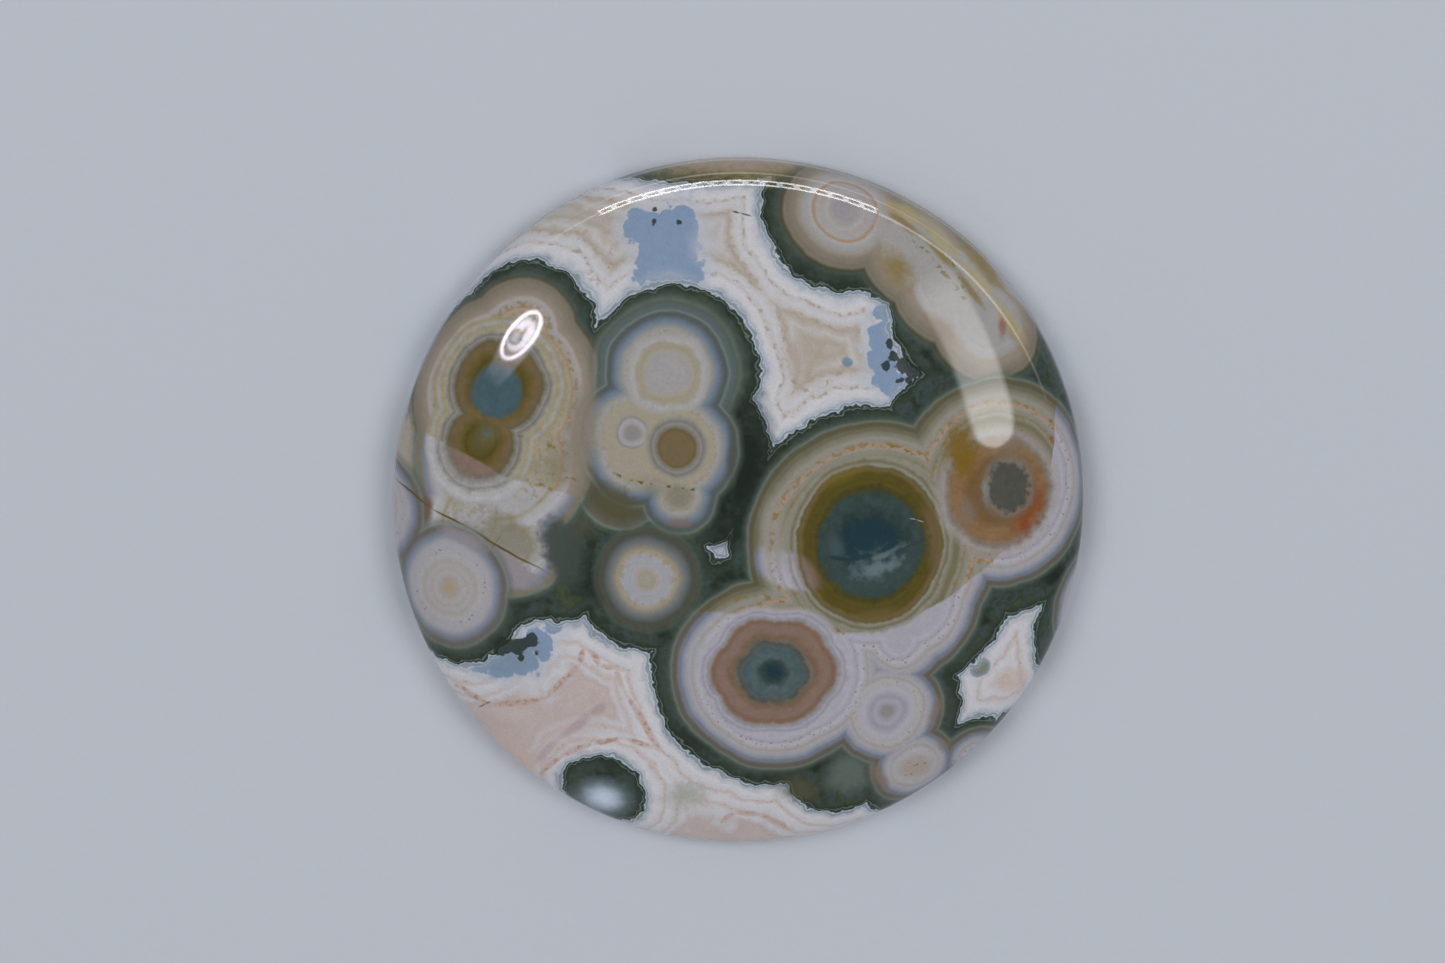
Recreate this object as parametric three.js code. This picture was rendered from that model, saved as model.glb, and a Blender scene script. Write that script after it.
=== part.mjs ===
// A round cabochon of orbicular jasper: one stone with a flat back, a short
// girdle wall and a domed, polished face. Millimetres, +Z up.
// The origin is the middle of the flat back, and +Y is the top of the face.
import * as THREE from "three";

// Driving dimensions of the stone.
const DIAMETER = 45;
const THICKNESS = 7.4;
const GIRDLE_HEIGHT = 1.8; // back bevel and wall together
const BACK_BEVEL = 0.45; // across and up, where the back meets the wall
const WALL_LEAN = 0.15; // how far the wall leans in over its height

// Fineness of the faceted solid.
const AROUND = 120;
const DOME_STEPS = 20;

// The stone was ground by hand, so its outline is a little off a circle.
// Each wave: how many times it repeats around, its height, and its first crest.
const OUTLINE_WAVES = [
  { repeats: 2, height: 0.06, crest: 0.5 },
  { repeats: 3, height: 0.05, crest: 2.1 },
  { repeats: 5, height: 0.03, crest: 4.0 },
];

// The section from the middle of the back, out round the edge, and over the
// dome to its top. The dome is a quarter of an ellipse, which meets the wall
// upright and the top level.
function section() {
  const radius = DIAMETER / 2;
  const domeRadius = radius - WALL_LEAN;
  const domeRise = THICKNESS - GIRDLE_HEIGHT;
  const points = [
    new THREE.Vector2(0, 0),
    new THREE.Vector2(radius - BACK_BEVEL, 0),
    new THREE.Vector2(radius, BACK_BEVEL),
  ];
  for (let step = 0; step < DOME_STEPS; step++) {
    const turn = (step / DOME_STEPS) * (Math.PI / 2);
    const outward = domeRadius * Math.cos(turn);
    const upward = GIRDLE_HEIGHT + domeRise * Math.sin(turn);
    points.push(new THREE.Vector2(outward, upward));
  }
  points.push(new THREE.Vector2(0, THICKNESS));
  return points;
}

// How far the outline stands out from a true circle at an angle around it.
function outlineOffset(angle) {
  return OUTLINE_WAVES.reduce(
    (sum, wave) => sum + wave.height * Math.cos(wave.repeats * angle - wave.crest),
    0,
  );
}

// Moves each point out or in by the outline's offset there, in proportion to
// its distance from the axis, so that the middle of the stone stays in place.
function shapeOutline(geometry) {
  const place = geometry.getAttribute("position");
  const radius = DIAMETER / 2;
  for (let i = 0; i < place.count; i++) {
    const x = place.getX(i);
    const y = place.getY(i);
    const stretch = 1 + outlineOffset(Math.atan2(y, x)) / radius;
    place.setXYZ(i, x * stretch, y * stretch, place.getZ(i));
  }
  return geometry;
}

// The whole stone: the section turned about the upright axis.
function makeStone() {
  const turned = new THREE.LatheGeometry(section(), AROUND);
  turned.rotateX(Math.PI / 2); // the lathe turns about Y, and the stone stands along Z
  const polish = new THREE.MeshStandardMaterial({
    color: 0x8f8c86,
    roughness: 0.08,
    metalness: 0,
  });
  const stone = new THREE.Mesh(shapeOutline(turned), polish);
  stone.name = "cabochon";
  return stone;
}

const cabochon = new THREE.Group();
cabochon.add(makeStone());

export default cabochon;
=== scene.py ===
"""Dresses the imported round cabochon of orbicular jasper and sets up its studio.

The stone is one lathe-like surface, and its pattern is a solid one: every orb is a ball in the
stone, and each band is a function of the distance to the balls. Lengths in this file are
millimetres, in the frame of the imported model, until they are scaled to metres for Blender.
"""

import logging
import math
from dataclasses import dataclass
from enum import Enum
from typing import Any, Callable

import bpy
import numpy as np
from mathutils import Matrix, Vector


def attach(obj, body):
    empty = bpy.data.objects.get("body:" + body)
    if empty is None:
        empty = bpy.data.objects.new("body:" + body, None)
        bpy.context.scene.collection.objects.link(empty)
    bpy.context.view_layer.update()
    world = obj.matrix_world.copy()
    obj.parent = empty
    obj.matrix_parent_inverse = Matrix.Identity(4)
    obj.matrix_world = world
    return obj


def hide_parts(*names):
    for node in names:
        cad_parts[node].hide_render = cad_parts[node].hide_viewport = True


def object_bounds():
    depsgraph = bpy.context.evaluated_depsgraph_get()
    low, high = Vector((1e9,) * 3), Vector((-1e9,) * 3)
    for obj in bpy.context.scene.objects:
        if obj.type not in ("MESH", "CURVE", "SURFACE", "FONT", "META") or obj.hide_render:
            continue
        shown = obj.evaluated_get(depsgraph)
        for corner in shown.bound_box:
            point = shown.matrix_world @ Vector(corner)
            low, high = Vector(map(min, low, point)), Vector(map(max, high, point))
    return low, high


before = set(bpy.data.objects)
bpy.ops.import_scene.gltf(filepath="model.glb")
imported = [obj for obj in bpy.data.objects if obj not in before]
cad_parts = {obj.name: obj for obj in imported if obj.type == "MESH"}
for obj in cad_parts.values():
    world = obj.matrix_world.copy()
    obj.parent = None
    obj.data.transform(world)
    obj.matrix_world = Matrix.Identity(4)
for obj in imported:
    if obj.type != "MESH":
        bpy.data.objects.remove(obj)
CAD_LOW, CAD_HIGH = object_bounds()

LOG = logging.getLogger("cabochon")
MM = 0.001
BODY = "root"
NODE = "cabochon"

WIDTH = (CAD_HIGH.x - CAD_LOW.x) / MM
DEPTH = (CAD_HIGH.y - CAD_LOW.y) / MM
RADIUS = (WIDTH + DEPTH) / 4
THICKNESS = CAD_HIGH.z / MM

# How bright a white face looks under the studio's lights, and what the polish adds on top.
LIGHT_LEVEL = 0.62
GLOSS_VEIL = 0.014

Path = Callable[[np.ndarray], tuple[np.ndarray, np.ndarray]]
Glow = Callable[[np.ndarray, np.ndarray], np.ndarray]


@dataclass(frozen=True)
class Tint:
    """A colour of the stone as it looks in the studio's light, 0 to 255."""

    red: int
    green: int
    blue: int

    def albedo(self, opacity: float = 1.0) -> tuple[float, float, float, float]:
        """The share of light that the bare stone gives back.

        Formula: each channel is taken out of sRGB, the polish's veil is taken off, and the rest
        is divided by the level of the light.

        Args:
            opacity: the last value of the colour.

        Returns:
            Linear red, green and blue, and the opacity.
        """
        shares = []
        for value in (self.red, self.green, self.blue):
            part = value / 255
            linear = part / 12.92 if part <= 0.04045 else ((part + 0.055) / 1.055) ** 2.4
            shares.append(min(max((linear - GLOSS_VEIL) / LIGHT_LEVEL, 0.004), 0.95))
        return (*shares, opacity)


# Greens of the ground between the orbs.
BLACK_GREEN = Tint(40, 48, 41)
DARK_GREEN = Tint(52, 60, 50)
DARK_POOL = Tint(31, 40, 35)
MOSS = Tint(66, 74, 54)
TEAL_GROUND = Tint(58, 70, 70)
GREY_GREEN = Tint(78, 88, 80)
OLIVE_SMOKE = Tint(80, 77, 58)
PALE_LINE = Tint(104, 113, 103)
TEAL_ORB = Tint(88, 98, 92)

# Whites and pinks of the filling.
BLUE_LINE = Tint(170, 182, 188)
SLATE = Tint(124, 132, 142)
COOL_WHITE = Tint(168, 171, 180)
MILK = Tint(180, 179, 184)
BRIGHT_MILK = Tint(186, 184, 188)
CHALK = Tint(174, 170, 168)
FAWN_WHITE = Tint(158, 148, 138)
CREAM_PINK = Tint(175, 163, 159)
ROSE = Tint(170, 156, 154)
# Peach stain, painted lighter than its own colour to make up for the weaker light on the lower part of the face: partly
# painted light.
PEACH_AND_PAINTED_LIGHT = Tint(182, 162, 150)
DUSKY_PINK = Tint(146, 124, 128)
RUST = Tint(146, 110, 90)
RUST_VEIL = Tint(166, 140, 128)
FAWN_DOT = Tint(148, 132, 118)
CHALCEDONY = Tint(120, 137, 161)
GREY_CHALCEDONY = Tint(112, 127, 142)
WINDOW_EDGE = Tint(104, 118, 126)
WINDOW = Tint(180, 188, 208)
OLIVE_BEAD = Tint(114, 119, 106)
OLIVE_CREAM = Tint(150, 151, 142)

# Pale bands.
WHITE = Tint(153, 151, 152)
BRIGHT_WHITE = Tint(162, 161, 164)
LAVENDER_WHITE = Tint(150, 147, 154)
LAVENDER = Tint(138, 135, 146)
PALE_LAVENDER = Tint(157, 154, 164)
ICE = Tint(144, 149, 157)
CREAM = Tint(144, 138, 125)
HAZY_CREAM = Tint(146, 143, 142)
HONEY_CREAM = Tint(146, 138, 121)
WARM_CREAM = Tint(148, 138, 122)
YELLOW_CREAM = Tint(140, 131, 104)
TAN_HEARTLET = Tint(152, 134, 112)
GREY_RING = Tint(112, 109, 100)
GREY_BAND = Tint(128, 125, 121)
PINK_WHITE = Tint(150, 141, 139)
PINK_HAZE = Tint(133, 126, 131)
LEFT_CREAM = Tint(146, 139, 128)
ROSE_WHITE = Tint(144, 142, 140)
STAINED_WHITE = Tint(137, 132, 124)
STAINED_CREAM = Tint(130, 127, 116)
STAINED_YELLOW = Tint(120, 114, 92)
STAINED_GREY = Tint(106, 101, 78)
DUSK = Tint(121, 117, 104)
DEEP_DUSK = Tint(64, 71, 66)

# Ochres, rust and red.
OCHRE = Tint(118, 97, 34)
GOLD_OCHRE = Tint(112, 88, 20)
DARK_OCHRE = Tint(88, 72, 24)
ORANGE_LINE = Tint(150, 124, 100)
EMBER = Tint(122, 62, 34)
EMBER_BROWN = Tint(106, 82, 56)
EMBER_TAN = Tint(124, 98, 70)
RED_SPECK = Tint(118, 82, 74)

# Shells.
EDGE_PALE = Tint(146, 144, 147)
GLOW = Tint(118, 124, 139)
BROWN_GREY = Tint(90, 87, 79)
STAINED_EDGE = Tint(124, 120, 109)
STAINED_GLOW = Tint(110, 106, 90)
STAINED_BROWN = Tint(86, 82, 64)
SMOKE_EDGE = Tint(138, 127, 114)
SMOKE_GLOW = Tint(127, 118, 106)
SMOKE_BROWN = Tint(113, 106, 93)
MOON_BROWN = Tint(95, 93, 89)
SLATE_EDGE = Tint(128, 130, 126)
SLATE_GLOW = Tint(103, 116, 132)
PEARL_GLOW = Tint(99, 104, 106)
SLATE_BROWN = Tint(79, 85, 84)
TWIN_BROWN = Tint(73, 75, 68)
SLATE_HAZE = Tint(92, 102, 112)
TAN_SHELL = Tint(118, 104, 90)

# Hearts.
DEEP_TEAL = Tint(35, 54, 61)
TEAL = Tint(46, 59, 57)
LIGHT_TEAL = Tint(75, 89, 91)
SEA_TEAL = Tint(66, 86, 92)
SEA_GREY = Tint(96, 112, 114)
GOLD_OLIVE = Tint(108, 94, 38)
MID_TEAL = Tint(54, 68, 66)
DARK_OLIVE = Tint(68, 65, 36)
OLIVE = Tint(81, 72, 31)
OLIVE_BROWN = Tint(100, 86, 54)
SOFT_OLIVE = Tint(92, 86, 60)
BROWN = Tint(104, 88, 66)
DARK_BROWN = Tint(80, 68, 50)
PINK_BROWN = Tint(116, 102, 92)
ROSE_BROWN = Tint(121, 101, 90)
ROSE_GREY = Tint(140, 135, 139)
OLIVE_GOLD = Tint(122, 104, 56)
RIM_OLIVE = Tint(124, 114, 78)
RIM_TAN = Tint(146, 130, 118)
RIM_GOLD = Tint(112, 101, 62)
# Pale gold for the streak along the upper right rim: partly gold staining, partly a painted highlight of the light
# reflected along the shoulder.
RIM_GOLD_AND_HIGHLIGHT = Tint(160, 146, 102)
RUSSET = Tint(115, 91, 77)
TAN_HEART = Tint(106, 92, 68)
ASH = Tint(76, 75, 69)


class Side(Enum):
    """Which side of the old waterline a mark is on."""

    BOTH = "both"
    STAINED = "stained"
    CLEAN = "clean"


class Mark(Enum):
    """How a row of marks is broken up."""

    LINE = "line"
    GRAINS = "grains"
    SMEARS = "smears"


@dataclass
class Profile:
    """The stone's section and its outline, ground by hand and a little off a circle."""

    radius: float = RADIUS
    thickness: float = THICKNESS
    girdle_height: float = 1.8
    back_bevel: float = 0.45
    wall_lean: float = 0.15
    edge_softness: float = 0.14
    back_steps: int = 10
    corner_steps: int = 6
    wall_steps: int = 5
    dome_steps: int = 150
    # Each wave of the outline: how often it repeats, its height and its first crest.
    outline_waves: tuple[tuple[int, float, float], ...] = ((2, 0.06, 0.5), (3, 0.05, 2.1), (5, 0.03, 4.0))

    @property
    def dome_radius(self) -> float:
        """Where the dome starts at the top of the wall."""
        return self.radius - self.wall_lean

    @property
    def dome_rise(self) -> float:
        """How far the dome stands above the wall."""
        return self.thickness - self.girdle_height

    def face_height(self, x: float, y: float) -> float:
        """How high the polished face is over a place.

        Formula: the dome is an ellipse, so its height is the girdle's plus the rise times the
        root of one minus the squared share of the radius.
        """
        share = math.hypot(x, y) / self.dome_radius
        return self.girdle_height + self.dome_rise * math.sqrt(max(1 - share * share, 0.0))

    def corner(self, before: np.ndarray, tip: np.ndarray, after: np.ndarray) -> np.ndarray:
        """A softened corner of the section.

        Formula: a curve that leaves the line to the tip at the edge softness before it, and
        meets the next line as far after it, weighted (1 - t) squared, 2 t (1 - t), t squared.

        Args:
            before: the corner's neighbour on the back's side.
            tip: the sharp corner.
            after: the neighbour on the dome's side.

        Returns:
            Points as rows of (outward, upward).
        """
        way_in = (tip - before) / np.linalg.norm(tip - before)
        way_out = (after - tip) / np.linalg.norm(after - tip)
        start = tip - way_in * self.edge_softness
        end = tip + way_out * self.edge_softness
        t = np.linspace(0, 1, self.corner_steps)[:, None]
        return (1 - t) ** 2 * start + 2 * t * (1 - t) * tip + t**2 * end

    def section(self) -> np.ndarray:
        """The section from the back's middle round the edge to the dome's top.

        Formula: a straight back, two softened corners with the bevel between them, a straight
        wall, and a quarter of an ellipse.

        Returns:
            Points as rows of (outward, upward).
        """
        middle = np.array([0.0, 0.0])
        bevel_low = np.array([self.radius - self.back_bevel, 0.0])
        bevel_high = np.array([self.radius, self.back_bevel])
        wall_top = np.array([self.dome_radius, self.girdle_height])
        low = self.corner(middle, bevel_low, bevel_high)
        high = self.corner(bevel_low, bevel_high, wall_top)
        back = np.linspace(middle, low[0], self.back_steps)[:-1]
        wall = np.linspace(high[-1], wall_top, self.wall_steps)[1:-1]
        turn = np.linspace(0, np.pi / 2, self.dome_steps)
        dome = np.column_stack([
            self.dome_radius * np.cos(turn),
            self.girdle_height + self.dome_rise * np.sin(turn),
        ])
        dome[-1, 0] = 0.0
        return np.vstack([back, low, high, wall, dome])

    def outline(self, angle: np.ndarray) -> np.ndarray:
        """How much each direction is stretched.

        Formula: one plus the sum of height times cosine of (repeats times angle minus crest),
        over the radius.
        """
        offset = sum(height * np.cos(repeats * angle - crest) for repeats, height, crest in self.outline_waves)
        return 1 + offset / self.radius


@dataclass(frozen=True)
class Ball:
    """A ball in the stone. Its middle lies on the polished face unless its height is given."""

    x: float
    y: float
    radius: float
    z: float | None = None

    def centre(self, profile: Profile) -> tuple[float, float, float]:
        """The middle of the ball."""
        return (self.x, self.y, profile.face_height(self.x, self.y) if self.z is None else self.z)


@dataclass(frozen=True)
class Ring:
    """One stop of a growth's colours: how far out it is, its colour and its opacity."""

    out: float
    tint: Tint
    opacity: float = 1.0


@dataclass(frozen=True)
class Row:
    """A row of marks along one distance of a growth."""

    out: float
    half_width: float
    tint: Tint
    opacity: float
    mark: Mark = Mark.GRAINS
    side: Side = Side.BOTH


@dataclass(frozen=True)
class Growth:
    """Orbs that share their bands. Distances run outwards from the surface of the nearest ball."""

    name: str
    balls: tuple[Ball, ...]
    rings: tuple[Ring, ...]
    clean_rings: tuple[Ring, ...] = ()
    rows: tuple[Row, ...] = ()
    banding: float = 0.0
    mottle: float = 0.0
    ragged: float = 0.0
    wide: float = 1.0
    tall: float = 1.0
    petals: int = 0
    petal_depth: float = 0.0
    petal_turn: float = 0.0


@dataclass(frozen=True)
class Patch:
    """A soft oval stain on the face."""

    name: str
    x: float
    y: float
    wide: float
    tall: float
    tint: Tint
    turn: float = 0.0
    opacity: float = 1.0
    soft: float = 0.6
    ragged: float = 0.25
    side: Side = Side.BOTH


@dataclass(frozen=True)
class Seam:
    """A fine line on the face through a few points."""

    name: str
    points: tuple[tuple[float, float], ...]
    half_width: float
    tint: Tint
    opacity: float = 1.0
    mark: Mark = Mark.LINE
    veil: Tint | None = None


def shell(edge: Tint, glow: Tint, brown: Tint, width: float = 1.0, line: Tint = PALE_LINE,
          line_opacity: float = 0.75) -> tuple[Ring, ...]:
    """The thin shell round a growth: from its edge through a glow to brown, a pale line, and the ground."""
    return (
        Ring(0.0, edge),
        Ring(0.27 * width, glow),
        Ring(0.68 * width, brown),
        Ring(0.84 * width, brown),
        Ring(0.98 * width, line, line_opacity),
        Ring(1.14 * width, GREY_GREEN, 0.5),
        Ring(1.45 * width, TEAL_GROUND, 0.0),
    )


# Balls deep in the stone, which only the back and the wall show.
DEEP_PALE = (
    Ball(4.0, -3.0, 3.4, -1.5), Ball(-9.0, 9.0, 3.6, -1.2), Ball(-12.0, -8.0, 2.8, -0.8),
    Ball(13.5, 7.0, 2.6, -0.6), Ball(2.0, 15.0, 2.4, -0.5), Ball(-1.5, -15.5, 2.2, -0.6),
)
DEEP_GREEN = tuple(Ball(ball.x, ball.y, ball.radius + 1.8, ball.z) for ball in DEEP_PALE)

# The outer edges of the dark green ground, where the pale filling begins.
GREEN_BALLS = (
    Ball(-15.1, 7.5, 7.2), Ball(-13.8, 11.2, 4.9), Ball(-16.6, 2.5, 6.7), Ball(-14.0, -1.9, 5.4),
    Ball(-23.2, -0.1, 4.0, 1.5), Ball(-8.9, -0.2, 3.3),
    Ball(-4.3, 8.9, 5.6), Ball(-3.9, 3.65, 6.0), Ball(-2.5, 0.8, 3.1),
    Ball(-5.9, -4.5, 4.6), Ball(-11.3, -4.4, 2.9),
    Ball(8.85, -2.85, 9.7), Ball(2.35, -10.1, 8.05), Ball(16.7, 1.7, 8.85),
    Ball(9.65, -13.1, 4.9), Ball(11.4, -17.05, 4.0), Ball(15.0, -16.3, 3.0), Ball(17.6, -15.4, 2.0), Ball(6.4, -17.0, 3.35),
    Ball(-18.6, -5.2, 5.2), Ball(23.1, -8.0, 4.8, 1.2), Ball(21.4, -7.9, 3.1), Ball(19.3, 8.8, 3.3),
    Ball(6.85, 19.1, 5.5), Ball(10.25, 15.9, 2.9), Ball(15.1, 12.7, 5.7),
    Ball(-8.9, -18.7, 2.85),
    Ball(-2.0, 32.0, 12.7, -2.0),
) + DEEP_GREEN

# Scalloped patches of clear blue-grey chalcedony in the filling.
CHALCEDONY_BALLS = (
    Ball(-6.0, 18.0, 1.5), Ball(-4.0, 18.2, 1.5), Ball(-4.6, 16.6, 2.1), Ball(-4.9, 15.0, 1.7),
    Ball(-3.4, 15.2, 1.3),
    Ball(9.4, 12.6, 0.8), Ball(9.1, 11.4, 0.85), Ball(9.0, 10.2, 1.0), Ball(9.2, 9.0, 1.15), Ball(9.9, 8.1, 1.1),
    Ball(11.3, 7.9, 0.8),
    Ball(-16.6, -10.1, 1.0), Ball(-15.3, -10.0, 1.2), Ball(-14.0, -9.6, 1.3), Ball(-12.8, -8.6, 1.1),
    Ball(-12.0, -7.6, 0.8),
)

# Small dark drops in and beside the chalcedony.
DROPS = (
    Ball(-5.3, 19.2, 0.3), Ball(-5.4, 18.4, 0.26), Ball(-3.85, 18.4, 0.17), Ball(-3.95, 15.9, 0.1),
    Ball(9.6, 10.6, 0.26), Ball(9.9, 9.9, 0.4), Ball(10.5, 9.3, 0.62), Ball(11.2, 8.9, 0.62), Ball(9.3, 9.2, 0.3),
    Ball(10.3, 8.3, 0.3), Ball(10.9, 8.3, 0.34),
    Ball(-13.3, -8.5, 0.5), Ball(-14.2, -8.9, 0.65), Ball(-15.1, -9.0, 0.6), Ball(-13.9, -9.7, 0.28),
    Ball(-13.0, -9.2, 0.3),
)

# What lies in the filling.
FILLING_LAYERS: tuple[Growth | Patch | Seam, ...] = (
    # The two peach patches are a real peach stain whose colour is painted lighter where the lower face gets less light.
    Patch("peach at the low left", -14.4, -16.6, 3.2, 2.0, PEACH_AND_PAINTED_LIGHT, turn=-38, opacity=0.85, soft=0.9),
    Patch("peach in the star", 17.6, -11.4, 1.6, 1.2, PEACH_AND_PAINTED_LIGHT, opacity=0.6),
    Patch("rose middle", -11.2, -14.0, 5.6, 2.9, ROSE, turn=34, opacity=0.6, soft=0.9),
    Seam("dusky seam", ((-8.5, -12.6), (-9.6, -13.3), (-11.6, -15.1), (-13.3, -16.8)), 0.42, DUSKY_PINK, 0.5),
    Seam("rust row low left", ((-18.7, -11.7), (-16.0, -13.1), (-12.5, -12.2), (-10.2, -9.9), (-10.0, -8.9)), 0.3,
         RUST, 0.65, Mark.SMEARS, RUST_VEIL),
    Seam("rust row low right", ((-9.6, -9.0), (-8.9, -10.0), (-7.8, -10.1), (-7.4, -11.6), (-5.0, -15.7)), 0.3,
         RUST, 0.65, Mark.SMEARS, RUST_VEIL),
    Seam("rust row over the small green orb", ((-13.0, -17.7), (-11.6, -16.3), (-9.6, -15.2), (-7.4, -14.8),
                                               (-5.4, -15.5)), 0.3, RUST, 0.65, Mark.SMEARS, RUST_VEIL),
    Seam("rust row at the foot", ((-1.1, -20.6), (-0.3, -19.9), (1.4, -20.1), (3.3, -21.3)), 0.26, RUST, 0.6,
         Mark.SMEARS, RUST_VEIL),
    Seam("fawn loop", ((2.8, 11.4), (2.7, 10.3), (3.2, 8.9), (3.8, 7.8), (5.2, 7.9), (6.3, 8.7), (6.4, 9.5)),
         0.22, FAWN_DOT, 0.8, Mark.SMEARS),
    Seam("fawn inner loop", ((5.4, 10.6), (4.8, 9.7), (4.2, 8.5), (4.8, 8.4)), 0.3, FAWN_DOT, 0.55),
    Seam("fawn loop at the top left", ((-9.5, 18.1), (-10.5, 16.9), (-9.8, 15.3), (-8.9, 14.1), (-8.4, 15.0),
                                       (-8.1, 16.9)), 0.3, FAWN_DOT, 0.55, Mark.SMEARS),
    Seam("crack at the top", ((-0.5, 19.0), (0.0, 18.9), (0.7, 18.7)), 0.09, MOSS, 0.9),
    Seam("crack at the low left", ((-17.0, -13.3), (-16.4, -13.0), (-16.0, -12.8)), 0.07, MOSS, 0.8),
    Patch("fawn middle", 4.3, 9.9, 2.6, 2.6, FAWN_WHITE, opacity=0.75, soft=0.9),
    Patch("grey bead", 6.8, 9.6, 0.42, 0.42, GREY_CHALCEDONY, soft=0.4),
    Patch("olive cream patch", -3.5, -18.7, 2.1, 1.35, OLIVE_CREAM, turn=8, opacity=0.9, soft=0.9, ragged=0.5),
    Patch("grey over the low chalcedony", -14.6, -9.8, 3.0, 1.6, GREY_CHALCEDONY, turn=20, opacity=0.6, soft=0.7),
    Patch("pale foot of the chalcedony", -4.6, 14.6, 2.4, 1.1, COOL_WHITE, opacity=0.35, soft=0.9),
    Patch("haze beside the chalcedony", -2.2, 17.0, 1.5, 2.2, COOL_WHITE, opacity=0.5, soft=0.9),
    Growth("olive bead in the star", (Ball(15.53, -10.37, 0.0),), (
        Ring(0.0, OLIVE_BEAD), Ring(0.4, OLIVE_BEAD), Ring(0.6, GREY_CHALCEDONY, 0.9), Ring(0.75, MILK, 0.8),
        Ring(0.95, MILK, 0.0))),
)

# What lies in the green ground, under the orbs.
GROUND_LAYERS: tuple[Growth | Patch | Seam, ...] = (
    Patch("olive smoke at the top rim", -0.4, 22.7, 8.8, 2.6, RIM_OLIVE, opacity=0.95, soft=0.7),
    Patch("tan rim at the top", -0.4, 23.1, 8.2, 2.1, RIM_TAN, opacity=0.95, soft=0.6),
    Patch("gold rim at the upper right", 14.4, 16.6, 7.5, 2.4, RIM_GOLD, turn=-48, opacity=0.95, soft=0.6),
    Patch("teal by the low orbs", 7.1, -17.3, 2.1, 1.9, TEAL_ORB, opacity=0.95, soft=0.7),
    Patch("olive by the low orbs", 3.9, -18.3, 2.2, 1.4, OLIVE_SMOKE, opacity=0.7, soft=0.9),
    Patch("cream at the left edge", -21.9, 2.2, 5.6, 2.0, LEFT_CREAM, turn=86, opacity=0.95, soft=0.5),
    Patch("brown smoke between orbs", -10.3, 5.0, 1.9, 5.6, SMOKE_BROWN, opacity=0.95, soft=0.6),
    Patch("smoke below the left orbs", -11.3, -0.6, 3.0, 2.6, STAINED_BROWN, opacity=0.7, soft=0.9),
    Patch("dark pool right of the twins", 0.3, 2.8, 2.3, 6.2, DARK_POOL, turn=-8, opacity=0.95, soft=0.8),
    Patch("dark pool below the star", -1.2, -0.9, 2.2, 1.8, DARK_POOL, opacity=0.7, soft=0.9),
    Patch("dark pool by the pearl", -9.9, -4.2, 1.6, 3.0, DARK_POOL, opacity=0.7, soft=0.9),
    Growth("olive smoke", (Ball(-7.5, 1.7, 0.0),), (
        Ring(0.0, OLIVE_SMOKE), Ring(2.0, OLIVE_SMOKE), Ring(2.6, BROWN_GREY), Ring(2.85, PALE_LINE, 0.9),
        Ring(3.0, GREY_GREEN, 0.5), Ring(3.3, GREY_GREEN, 0.0)), mottle=0.15),
)

STAINED_SHELL = shell(STAINED_EDGE, STAINED_GLOW, STAINED_BROWN)
CLEAN_SHELL = shell(EDGE_PALE, GLOW, BROWN_GREY)
STAINED_BAND = (
    Ring(-1.6, STAINED_GREY), Ring(-1.4, STAINED_CREAM), Ring(-1.2, STAINED_YELLOW), Ring(-1.0, STAINED_CREAM),
    Ring(-0.8, STAINED_WHITE), Ring(-0.65, ORANGE_LINE, 1.0), Ring(-0.5, STAINED_CREAM), Ring(-0.3, STAINED_WHITE),
    Ring(-0.1, STAINED_CREAM),
)
CLEAN_BAND = (
    Ring(-1.6, LAVENDER_WHITE), Ring(-1.3, PALE_LAVENDER), Ring(-1.0, LAVENDER_WHITE), Ring(-0.75, PALE_LAVENDER),
    Ring(-0.5, WHITE), Ring(-0.35, PINK_WHITE), Ring(-0.2, LAVENDER_WHITE),
)

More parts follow.
